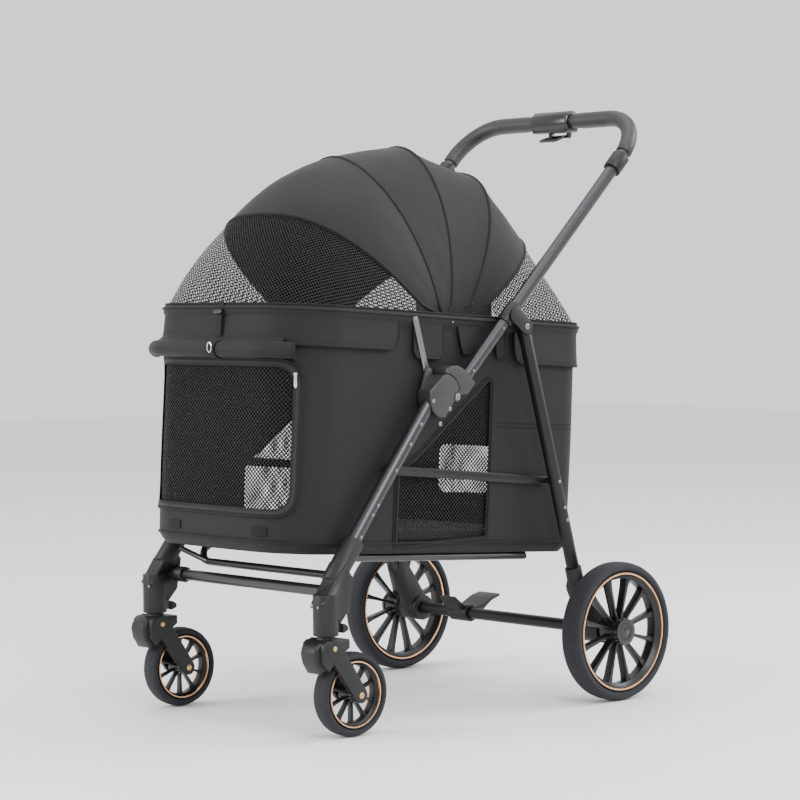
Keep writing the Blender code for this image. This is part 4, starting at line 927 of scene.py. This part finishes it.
def windowOutlines():
    out = {}
    w = windows["front"]
    low, high = hAt(0, w["bottomZ"]), hAt(0, w["topZ"])
    out["front"] = roundedOutline([(-w["half"], high), (w["half"], high), (w["half"], low), (-w["half"], low)],
                                  w["corner"], 8)
    w = windows["side"]
    for side, sign in sides:
        corners = []
        for y, z in ((w["frontY"], w["bottomZ"]), (w["frontY"], w["lowKneeZ"]), (w["kneeY"], w["kneeZ"]),
                     (w["rearY"], w["topZ"]), (w["rearY"], w["bottomZ"])):
            u = uAtSide(y)
            corners.append((sign * u, hAt(u, z)))
        out["side." + side] = roundedOutline(corners, w["corner"], 4)
    w = windows["rear"]
    low, high = hAt(planEnd, w["bottomZ"]), hAt(planEnd, w["topZ"])
    # the rear window crosses the middle of the back, so it is drawn past the end of the walk
    out["rear"] = roundedOutline([(planEnd - w["half"], high), (planEnd + w["half"], high),
                                  (planEnd + w["half"], low), (planEnd - w["half"], low)], w["corner"], 6)
    return out


def wrap(u):
    return u - 2 * planEnd if u > planEnd else u + 2 * planEnd if u < -planEnd else u


outlines = windowOutlines()
clothTop = -0.004
clothBottom = -carrier["depth"]


def wallRows(uFrom, uTo, hTop, hBottom, offset, cell=None):
    cell = cell or carrier["cell"]
    columns = max(2, int((uTo - uFrom) / cell))
    levels = max(2, int((hTop - hBottom) / cell))
    us = [uFrom + (uTo - uFrom) * i / columns for i in range(columns + 1)]
    hs = [hTop + (hBottom - hTop) * k / levels for k in range(levels + 1)]
    rows = [[wallPoint(wrap(u), h, offset) for u in us] for h in hs]
    return us, hs, rows


def wallPatch(name, uFrom, uTo, hTop, hBottom, offset, finish, keep, thickness=0.0, cell=None):
    # keep(u, h) says which cells stay
    us, hs, rows = wallRows(uFrom, uTo, hTop, hBottom, offset, cell)
    points, _, _ = gridSheet(rows)
    size = len(us)
    uvs = [(u, h) for h in hs for u in us]
    faces = []
    for k in range(len(hs) - 1):
        for i in range(size - 1):
            if keep((us[i] + us[i + 1]) / 2, (hs[k] + hs[k + 1]) / 2):
                a, b = k * size + i, (k + 1) * size + i
                faces.append((a, b, b + 1, a + 1))
    used = sorted({i for face in faces for i in face})
    index = {old: new for new, old in enumerate(used)}
    shape = ([points[i] for i in used], [tuple(index[i] for i in face) for face in faces], [uvs[i] for i in used])
    return makePiece(name, shape, finish, "chassis", thickness=thickness)


def seamTube(name, outline, offset, radius, finish="piping", closed=True):
    path = [wallPoint(wrap(u), h, offset) for u, h in denser(outline, closed=closed)]
    return makePiece(name, sweepTube(path, radius, 10, closed), finish, "chassis", smoothAngle=70)


def tapeBand(name, outline, offset, width, finish="zip", closed=True):
    line = denser(outline, 0.006, closed)
    n = len(line)
    rows = [[], [], []]
    uvs, walked = [], 0.0
    for i, (u, h) in enumerate(line):
        before = line[(i - 1) % n] if closed or i else line[0]
        after = line[(i + 1) % n] if closed or i < n - 1 else line[-1]
        length = math.dist(before, after) or 1
        nu, nh = -(after[1] - before[1]) / length, (after[0] - before[0]) / length
        if i:
            walked += math.dist(line[i], line[i - 1])
        for k, share in enumerate((-0.5, 0.0, 0.5)):
            rows[k].append(wallPoint(wrap(u + nu * width * share), h + nh * width * share,
                                     offset + (0.0006 if k == 1 else 0.0)))
            uvs.append((walked, width * share))
    points = [p for i in range(n) for p in (rows[0][i], rows[1][i], rows[2][i])]
    faces = []
    for i in range(n if closed else n - 1):
        a, b = i * 3, (i + 1) % n * 3
        faces += [(a + k, a + k + 1, b + k + 1, b + k) for k in (0, 1)]
    return makePiece(name, (points, faces, uvs), finish, "chassis", thickness=0.0010, smoothAngle=60)


def buildCarrier():
    rear = outlines["rear"]

    def solidCell(u, h):
        if inside((u, h), outlines["front"]) or inside((u, h), outlines["side.left"]):
            return False
        if inside((u, h), outlines["side.right"]):
            return False
        return not (inside((u, h), rear) or inside((u + 2 * planEnd, h), rear))

    wall = wallPatch("carrierWall", -planEnd, planEnd, clothTop, clothBottom, 0.0, "carrier", solidCell, 0.0018)
    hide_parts("carrier_shell")
    perimeter = 2 * planEnd
    declareCloth(wall, perimeter, carrier["depth"], True)
    floorRing = [wallPoint(wrap(-planEnd + 2 * planEnd * i / 160), clothBottom, 0.0) for i in range(160)]
    middle = carrierPoint(0, 0, clothBottom)
    rows = [[middle.lerp(p, t) for p in floorRing] for t in (1.0, 0.96, 0.7, 0.4, 0.1)]
    makePiece("carrierFloor", gridSheet(rows, True), "carrier", "chassis", thickness=0.003)
    for name, cell in (("front", "fineNet"), ("side.left", "fineNet"), ("side.right", "fineNet"), ("rear", "openNet")):
        outline = outlines[name]
        us, hs = [u for u, _ in outline], [h for _, h in outline]
        margin = 0.006
        big = [(u + (margin if u > sum(us) / len(us) else -margin), h + (margin if h > sum(hs) / len(hs) else -margin))
               for u, h in outline]
        net = wallPatch("windowNet." + name, min(us) - margin, max(us) + margin, max(hs) + margin, min(hs) - margin,
                        -0.0022, cell, lambda u, h, big=big: inside((u, h), big), cell=0.008)
        declareCloth(net, max(us) - min(us) + 2 * margin, max(hs) - min(hs) + 2 * margin)
    tapeBand("frontZip", outlines["front"], 0.0018, 0.013)
    seamTube("frontZipPiping", [(u * 1.045, h + (0.006 if h > -0.15 else -0.006)) for u, h in outlines["front"]],
             0.0026, 0.0019)
    tapeBand("rearWindowTape", outlines["rear"], 0.0014, 0.012, "piping")
    for side, _ in sides:
        tapeBand("sideWindowTape." + side, outlines["side." + side], 0.0016, 0.010, "piping")
        seamTube("sideWindowPiping." + side, outlines["side." + side], 0.0026, 0.0016)
    ring = [(-planEnd + 2 * planEnd * i / 200, -carrier["depth"] + 0.017) for i in range(200)]
    path = [wallPoint(wrap(u), h, 0.0014) for u, h in ring]
    makePiece("bottomPiping", sweepTube(path, 0.0022, 10, True), "piping", "chassis")
    for side, sign in sides:
        # stitched seams of the side's rear panel
        start, end = uAtSide(0.050), uAtSide(0.245)
        for z, extra in ((0.4875, 0), (0.4800, 1)):
            line = [(sign * (start + (end - start) * i / 20), hAt(start, z)) for i in range(21)]
            seamTube(f"panelSeam{extra}.{side}", line, 0.0012, 0.0006, "webbing", closed=False)
    # hook-and-loop patches under the front window
    for i, x in enumerate((-0.086, 0.125)):
        h = hAt(0, 0.330)
        patch = roundedOutline([(x - 0.014, h + 0.007), (x + 0.014, h + 0.007), (x + 0.014, h - 0.007),
                                (x - 0.014, h - 0.007)], 0.003, 3)
        us, hs = [u for u, _ in patch], [v for _, v in patch]
        wallPatch(f"hookPatch{i}", min(us), max(us), max(hs), min(hs), 0.0022, "fleece",
                  lambda u, v: True, 0.0012, 0.004)


skirts = {
    # name: start and end distance round, drop at the ends, offset; sides are mirrored
    "frontEdgeY": -0.186, "frontDrop": 0.058, "frontCorner": 0.022, "offset": 0.0045,
    "sideFlaps": ((-0.152, -0.087, 0.600, 0.010, 0.0), (-0.056, 0.002, 0.605, 0.008, 0.012),
                  (0.037, 0.059, 0.5965, 0.006, 0.0)),
    "rearY": 0.081, "rearZ": 0.588,
}


def hangingFlap(name, uFrom, uTo, drop, corner, offset, finish="carrier", taper=0.0, flare=0.003, top=0.002):
    columns = max(8, int(abs(uTo - uFrom) / 0.006))
    length = abs(uTo - uFrom)
    levels = max(6, int(drop / 0.006))
    rows = []
    for k in range(levels + 1):
        t = k / levels
        row = []
        for i in range(columns + 1):
            share = i / columns
            fromEnd = min(share, 1 - share) * length
            short = corner - math.sqrt(max(0.0, corner ** 2 - max(0.0, corner - fromEnd) ** 2)) if corner else 0
            pull = taper * t * (0.5 - share) * 2
            u = uFrom + (uTo - uFrom) * share + pull * (1 if uTo > uFrom else -1)
            h = top - (drop - short) * t
            ripple = 0.0012 * noise.noise(Vector((u * 14, h * 8, 5.1))) * t
            row.append(wallPoint(wrap(u), h, offset + flare * t ** 2 + ripple))
        rows.append(row)
    piece = makePiece(name, gridSheet(rows), finish, "chassis", thickness=0.0016)
    edge = [row[0] for row in rows] + rows[-1][1:] + [row[-1] for row in rows[::-1][1:]]
    makePiece(name + ".piping", sweepTube(edge, 0.0017, 8), "piping", "chassis", smoothAngle=70)
    stitch = rows[max(1, levels - 1)][1:-1]
    makePiece(name + ".stitch", sweepTube(stitch, 0.0011, 6), "webbing", "chassis", smoothAngle=70)
    declareCloth(piece, length, drop, True)
    return piece


def buildRim():
    c = carrier
    # zip band that sleeves the rail
    levels = [(0.0012, -0.018), (0.0032, -0.012), (0.0075, -0.006), (0.0083, 0.0), (0.0068, 0.005), (0.0030, 0.0078),
              (-0.003, 0.0082), (-0.0065, 0.0045), (-0.0070, -0.002), (-0.0050, -0.010)]
    count = 220
    rows = [[wallPoint(wrap(-planEnd + 2 * planEnd * i / count), h, offset) for i in range(count)]
            for offset, h in levels]
    band = makePiece("rimBand", gridSheet(rows, True), "carrier", "chassis", thickness=0.0010)
    declareCloth(band, 2 * planEnd, 0.044, True)
    for name, offset, h, radius in (("rimZip", 0.0090, 0.0015, 0.0019), ("rimPiping", 0.0046, 0.0085, 0.0018)):
        path = [wallPoint(wrap(-planEnd + 2 * planEnd * i / count), h, offset) for i in range(count)]
        makePiece(name, sweepTube(path, radius, 8, True), "zip" if name == "rimZip" else "piping", "chassis")
    s = skirts
    end = uAtSide(s["frontEdgeY"])
    hangingFlap("frontSkirt", -end, end, s["frontDrop"], s["frontCorner"], s["offset"])
    for side, sign in sides:
        for i, (start, stop, bottom, corner, taper) in enumerate(s["sideFlaps"]):
            a, b = uAtSide(start), uAtSide(stop)
            drop = -hAt((a + b) / 2, bottom) + 0.002
            hangingFlap(f"sideFlap{i}.{side}", sign * a, sign * b, drop, corner, s["offset"], taper=taper)
    start = uAtSide(s["rearY"])
    drop = -hAt(start, s["rearZ"]) + 0.002
    hangingFlap("rearSkirt", start, 2 * planEnd - start, drop, 0.018, s["offset"])


flapRoll = {"radius": 0.0136, "spread": 0.176, "standoff": 0.0175, "drop": 0.066, "strapX": 0.026, "tabX": 0.022}


def rollReach():
    return next(w for w, (x, _) in zip(planWalk, plan) if x > flapRoll["spread"] - 0.010)


def rollLine(steps=64):
    # the roll follows the front wall round both corners
    r = flapRoll
    reach = rollReach()
    line = []
    for i in range(steps + 1):
        x, y, nx, ny = planAt(-reach + 2 * reach * i / steps)
        line.append(carrierPoint(x + nx * r["standoff"], y + ny * r["standoff"], -r["drop"]
                                 - 0.0012 * math.sin(math.pi * i / steps)))
    return line


def buildFlapRoll():
    r = flapRoll
    path = rollLine()
    _, frames = pathFrames(path)
    points, uvs, faces, walked = [], [], [], 0.0
    rings, around = len(path) - 1, 36
    up = Vector((0, 0, 1))
    for i, centre in enumerate(path):
        tangent = (path[min(i + 1, rings)] - path[max(i - 1, 0)]).normalized()
        outward = tangent.cross(up).normalized()
        walked += (centre - path[i - 1]).length if i else 0
        for j in range(around):
            angle = 2 * math.pi * j / around
            lap = 0.0011 * (1 - j / around)  # one edge of the spiral stands proud
            pinch = -0.0022 * math.exp(-((centre.x - r["strapX"]) / 0.010) ** 2)
            crease = 0.0009 * noise.noise(Vector((centre.x * 22, math.cos(angle) * 1.2, math.sin(angle) * 1.2)))
            radius = (r["radius"] - 0.0013 + lap + pinch + crease) * (0.9 if i in (0, rings) else 1.0)
            points.append(centre + (outward * math.cos(angle + 0.9) + up * math.sin(angle + 0.9)) * radius)
            uvs.append((walked, radius * angle))
    for i in range(rings):
        for j in range(around):
            a, b = i * around, (i + 1) * around
            faces.append((a + j, b + j, b + (j + 1) % around, a + (j + 1) % around))
    faces.append(tuple(range(around)))
    faces.append(tuple(rings * around + j for j in range(around))[::-1])
    roll = makePiece("windowFlapRoll", (points, faces, uvs), "carrier", "chassis")
    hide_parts("window_flap_roll")
    shapes = []
    for end in (0, rings):
        tangent = (path[1] - path[0]).normalized() if not end else (path[-1] - path[-2]).normalized()
        outward = tangent.cross(up).normalized()
        face = path[end] + tangent * (0.0004 if end else -0.0004)
        spiral = [face + (outward * math.cos(k * 0.42) + up * math.sin(k * 0.42)) * (r["radius"] - 0.002)
                  * (1 - k / 66) for k in range(60)]
        shapes.append(sweepTube(spiral, 0.0007, 6))
        ring = [path[end] + (outward * math.cos(a) + up * math.sin(a)) * (r["radius"] - 0.0008)
                for a in [2 * math.pi * k / 28 for k in range(28)]]
        shapes.append(sweepTube(ring, 0.0016, 8, True))
    makePiece("flapRollEnds", joined(shapes), "piping", "chassis")
    # the flap comes down from under the skirt to the roll
    rows = []
    for k in range(9):
        t = k / 8
        row = []
        for i in range(3, rings - 2):
            u = (i / rings * 2 - 1) * rollReach()
            row.append(wallPoint(u, -0.036 - 0.012 * t, 0.0030).lerp(path[i] + up * r["radius"] * 0.92, t ** 1.5))
        rows.append(row)
    sheet = makePiece("windowFlap", gridSheet(rows), "carrier", "chassis", thickness=0.0012)
    declareCloth(sheet, 0.34, 0.03, True)
    near = min(range(rings + 1), key=lambda i: abs(path[i].x - r["strapX"]))
    centre = path[near]
    rows = []
    for dx in (-0.0075, 0.0, 0.0075):
        rows.append([centre + Vector((dx, (r["radius"] + 0.0002) * math.cos(a), (r["radius"] + 0.0002) * math.sin(a)))
                     for a in [2 * math.pi * k / 32 for k in range(33)]])
    makePiece("rollStrap", gridSheet(rows), "webbing", "chassis", thickness=0.0014)
    hook = [centre + Vector((0.0052 * math.cos(a) - 0.001, -r["radius"] - 0.0016, 0.004 + 0.008 * math.sin(a)))
            for a in [2 * math.pi * k / 20 for k in range(20)]]
    makePiece("rollHook", sweepTube(hook, 0.0012, 8, True), "chrome", "chassis")
    # a tab strap with a toggle at the rim
    rows = [[wallPoint(r["tabX"] + dx, h, 0.0112 if h < 0.004 else 0.0075) for dx in (-0.0065, 0, 0.0065)]
            for h in (0.012, 0.006, -0.004, -0.014, -0.024, -0.034, -0.044)]
    makePiece("tabStrap", gridSheet(rows), "webbing", "chassis", thickness=0.0014)
    toggle = lathe([(-0.010, 0.0012), (-0.009, 0.0030), (-0.003, 0.0038), (0.003, 0.0038), (0.009, 0.0030),
                    (0.010, 0.0012)], wallPoint(r["tabX"], -0.006, 0.0140), "x", 20, closed=False)
    makePiece("tabToggle", toggle, "gloss", "chassis")
    # the zip pull by the window
    place, down = wallPoint(windows["front"]["half"] - 0.004, hAt(0, 0.585), 0.0048), Vector((0, 0, -1))
    pull = sweepTube([place, place + down * 0.007, place + down * 0.020, place + down * 0.024],
                     [0.0030, 0.0022, 0.0026, 0.0012], 10, flatten=0.45)
    makePiece("zipPull", pull, "chrome", "chassis")


pouch = {"half": 0.1555, "profile": ((0.2680, 0.2700), (0.2780, 0.2700), (0.2825, 0.3180), (0.2910, 0.3300),
                                     (0.2830, 0.3450), (0.2690, 0.4500), (0.2590, 0.4930))}


def buildPouch():
    # a lofted pocket that hangs from its top hem and sags between its ends
    rows = []
    steps = 28
    samples = []
    profile = pouch["profile"]
    for (ay, az), (by, bz) in zip(profile, profile[1:]):
        parts = max(2, int(math.dist((ay, az), (by, bz)) / 0.008))
        samples += [(ay + (by - ay) * k / parts, az + (bz - az) * k / parts) for k in range(parts)]
    samples.append(profile[-1])
    for y, z in samples:
        row = []
        for i in range(steps + 1):
            s = -1 + 2 * i / steps
            x = s * pouch["half"]
            wallY = carrierPoint(0, carrier["halfLength"] + 0.0025, hAt(planEnd, z)).y
            fall = (1 - abs(s) ** 7)
            wave = 0.0010 * noise.noise(Vector((x * 9, z * 12, 8.0)))
            row.append(Vector((x, wallY + max(0.0, y - wallY - 0.0005) * fall + wave * fall, z)))
        rows.append(row)
    sheet = makePiece("rearPouch", gridSheet(rows), "openNet", "chassis")
    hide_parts("rear_pouch")
    declareCloth(sheet, 0.34, 0.25)
    for name, row, radius in (("top", rows[-1], 0.0026), ("fold", rows[len(rows) * 3 // 8], 0.0016),
                              ("bottom", rows[0], 0.0022)):
        makePiece("pouchHem." + name, sweepTube(row, radius, 10), "piping", "chassis")
    hemRows = [[Vector((p.x, p.y + 0.0012, p.z - d)) for p in rows[-1]] for d in (0.0, 0.012, 0.024)]
    makePiece("pouchBand", gridSheet(hemRows), "carrier", "chassis", thickness=0.0014)


pad = {"height": 0.028, "crown": 0.006, "channels": 4}


def buildFloorPad():
    bottom = -carrier["depth"] + 0.0088
    around = 120
    rows = []
    edge = [planAt(wrap(-planEnd + 2 * planEnd * i / around)) for i in range(around)]
    def ringAt(inset, h):
        row = []
        for x, y, nx, ny in edge:
            row.append(carrierPoint(x - nx * inset, y - ny * inset, h))
        return row
    rows += [ringAt(0.060, bottom), ringAt(0.027, bottom), ringAt(0.0205, bottom + 0.006),
             ringAt(0.0195, bottom + 0.014),
             ringAt(0.0215, bottom + 0.021), ringAt(0.028, bottom + 0.0255)]
    for k in range(1, 14):
        t = k / 14
        ring = []
        for x, y, nx, ny in edge:
            ex, ey = (x - nx * 0.028) * (1 - t), (y - ny * 0.028) * (1 - t)
            puff = pad["crown"] * (1 - (1 - t) ** 2)
            seam = 0.0045 * math.exp(-((abs((ey + 0.33) / 0.166 - round((ey + 0.33) / 0.166)) * 0.166) / 0.006) ** 2)
            ring.append(carrierPoint(ex, ey, bottom + 0.0255 + puff - seam * min(1, t * 3)))
        rows.append(ring)
    cushion = makePiece("floorPad", gridSheet(rows, True), "lining", "chassis")
    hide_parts("floor_pad")
    welt = ringAt(0.0185, bottom + 0.0125)
    makePiece("floorPadWelt", sweepTube(welt, 0.0016, 8, True), "piping", "chassis")


# ---- the canopy

canopy = {"pivot": (-0.072, 0.664), "footHeight": 0.684, "outerEye": 0.1885, "pitch": 0.0046, "spread": 0.003,
          "hem": 0.0034, "steps": 56, "strips": 10}
bows = {"bow_front": (140.3, 0.2468, 2.59, -0.1197), "bow_crown_front": (105.4, 0.2647, 1.85, -0.0810),
        "bow_crown": (80.4, 0.2804, 1.81, -0.0510), "bow_rear_crown": (59.7, 0.2713, 2.13, -0.0034),
        "bow_rear": (33.5, 0.2320, 2.26, 0.0393)}
panelBulges = (0.016, 0.002, -0.003, 0.001)


def bowPoint(name, turn):
    degrees, height, fullness, footY = bows[name]
    power = 2 / fullness
    half = canopy["outerEye"] - list(bows).index(name) * canopy["pitch"] + canopy["spread"]
    x = math.copysign(abs(math.cos(turn)) ** power, math.cos(turn)) * half
    reach = max(math.sin(turn), 0.0) ** power * height
    lean = math.radians(degrees)
    return Vector((x, footY + reach * math.cos(lean), canopy["footHeight"] + reach * math.sin(lean)))


def bodyOfBow(name):
    return bodyOf[name]


def evenTurns(name, count, low):
    # turns spaced evenly along the bow, so the cloth has even cells
    fine = [low + (math.pi - 2 * low) * i / 400 for i in range(401)]
    line = [bowPoint(name, t) for t in fine]
    walk = [0.0]
    for a, b in zip(line, line[1:]):
        walk.append(walk[-1] + (b - a).length)
    out, j = [], 0
    for i in range(count + 1):
        wanted = walk[-1] * i / count
        while j < 399 and walk[j + 1] < wanted:
            j += 1
        out.append(fine[j] + (fine[j + 1] - fine[j]) * min(1, (wanted - walk[j]) / max(1e-9, walk[j + 1] - walk[j])))
    return out


def buildCanopy():
    names = list(bows)
    low = math.radians(3)
    for index, (front, rear) in enumerate(zip(names, names[1:])):
        bulge = panelBulges[index]
        rows, shares = [], []
        frontTurns = evenTurns(front, canopy["steps"], low)
        rearTurns = evenTurns(rear, canopy["steps"], low)
        for turnA, turnB in zip(frontTurns, rearTurns):
            start, end = bowPoint(front, turnA), bowPoint(rear, turnB)
            outwards = ((start + end) / 2 - sidePoint(canopy["pivot"], 0)).normalized()
            row = []
            for j in range(canopy["strips"] + 1):
                share = j / canopy["strips"]
                lift = bulge * 4 * share * (1 - share) * math.sin(turnA)
                crease = 0.0016 * noise.noise(Vector((turnA * 5, share * 3, index * 4.0))) * math.sin(math.pi * share)
                row.append(start.lerp(end, share) + outwards * (lift + crease + 0.0012))
                shares.append(share)
            rows.append(row)
        # the cloth's feet reach down behind the rim band
        for end in (0, -1):
            hem = [Vector((p.x, p.y, 0.6670)) for p in rows[end]]
            rows.insert(0, hem) if end == 0 else rows.append(hem)
        shares = shares[:canopy["strips"] + 1] + shares + shares[:canopy["strips"] + 1]
        node = {0: "canopy_panel_front", 1: "canopy_panel_crown_front", 2: "canopy_panel_crown",
                3: "canopy_panel_rear_crown"}[index]
        panel = makePiece("canopyPanel" + str(index), gridSheet(rows), "canopy", None)
        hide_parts(node)
        declareCloth(panel, 0.62, 0.16)
        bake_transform(panel)
    for name in names:
        path = [bowPoint(name, t) for t in evenTurns(name, 64, math.radians(0.5))]
        pivot = canopy["pivot"]
        half = canopy["outerEye"] - names.index(name) * canopy["pitch"]
        path = [Vector((half, pivot[0], pivot[1] + 0.004))] + path + [Vector((-half, pivot[0], pivot[1] + 0.004))]
        hem = makePiece("bowHem." + name, sweepTube(path, canopy["hem"], 12), "piping", bodyOfBow(name),
                        smoothAngle=70)
        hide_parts(name)
    buildEndNet("canopy_front_net", "bow_front", -1)
    buildEndNet("canopy_rear_net", "bow_rear", 1)
    clips = []
    for side, sign in sides:
        low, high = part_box("rim_rail")
        clips.append(rivet((sign * (high.x - 0.0005), -0.0675, 0.661), (sign, 0, 0), 0.0050, 0.0026))
    makePiece("canopyPins", joined(clips), "steel", "chassis")


def buildEndNet(node, bowName, ySign):
    steps, strips = 56, 14
    first = bowPoint(bowName, 0.0)
    if ySign < 0:
        uEnd = uAtSide(first.y - 0.004)
        us = [uEnd - 2 * uEnd * i / steps for i in range(steps + 1)]
    else:
        uEnd = uAtSide(first.y + 0.004)
        us = [uEnd + (2 * planEnd - 2 * uEnd) * i / steps for i in range(steps + 1)]
    turns = evenTurns(bowName, steps, math.radians(1.5))
    rows = []
    for u, turn in zip(us, turns):
        start = bowPoint(bowName, turn)
        end = wallPoint(wrap(u), 0.009, -0.001)
        middle = (start + end) / 2
        lift = 0.010 if ySign < 0 else 0.006
        outward = Vector((middle.x * 0.6, (middle.y - canopy["pivot"][0]), 0.10)).normalized()
        rows.append([start.lerp(end, j / strips) + outward * lift * math.sin(math.pi * j / strips)
                     * math.sin(turn) for j in range(strips + 1)])
    net = makePiece("canopyNet" + ("Front" if ySign < 0 else "Rear"), gridSheet(rows), "net", bodyOf[node],
                    smoothAngle=80)
    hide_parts(node)
    declareCloth(net, 0.66, 0.20)
    if ySign < 0:
        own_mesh(net)


# ---- everything in order

buildStudio()
floor = bpy.data.objects.new("studioFloorPlane", bpy.data.meshes.new("studioFloorPlane"))
floor.data.from_pydata([(-9, -9, -0.0004), (9, -9, -0.0004), (9, 9, -0.0004), (-9, 9, -0.0004)], [], [(0, 1, 2, 3)])
floor.data.materials.append(floorMaterial())
bpy.context.scene.collection.objects.link(floor)
print("studio ready")

buildTubes()
buildMouldings()
buildRivets()
print("frame ready")

for side, sign in sides:
    buildWheel(rearWheel, "rear", side, sign)
    buildWheel(frontWheel, "front", side, sign)
print("wheels ready")

buildRim()
buildCarrier()
buildFlapRoll()
buildPouch()
buildFloorPad()
print("carrier ready")

buildCanopy()
print("canopy ready")

for node, piece in frame["nodes"].items():
    if not piece.hide_render:
        print("still shown:", node)
        for slotIndex in range(len(piece.material_slots)):
            piece.material_slots[slotIndex].material = finishes["moulding"]
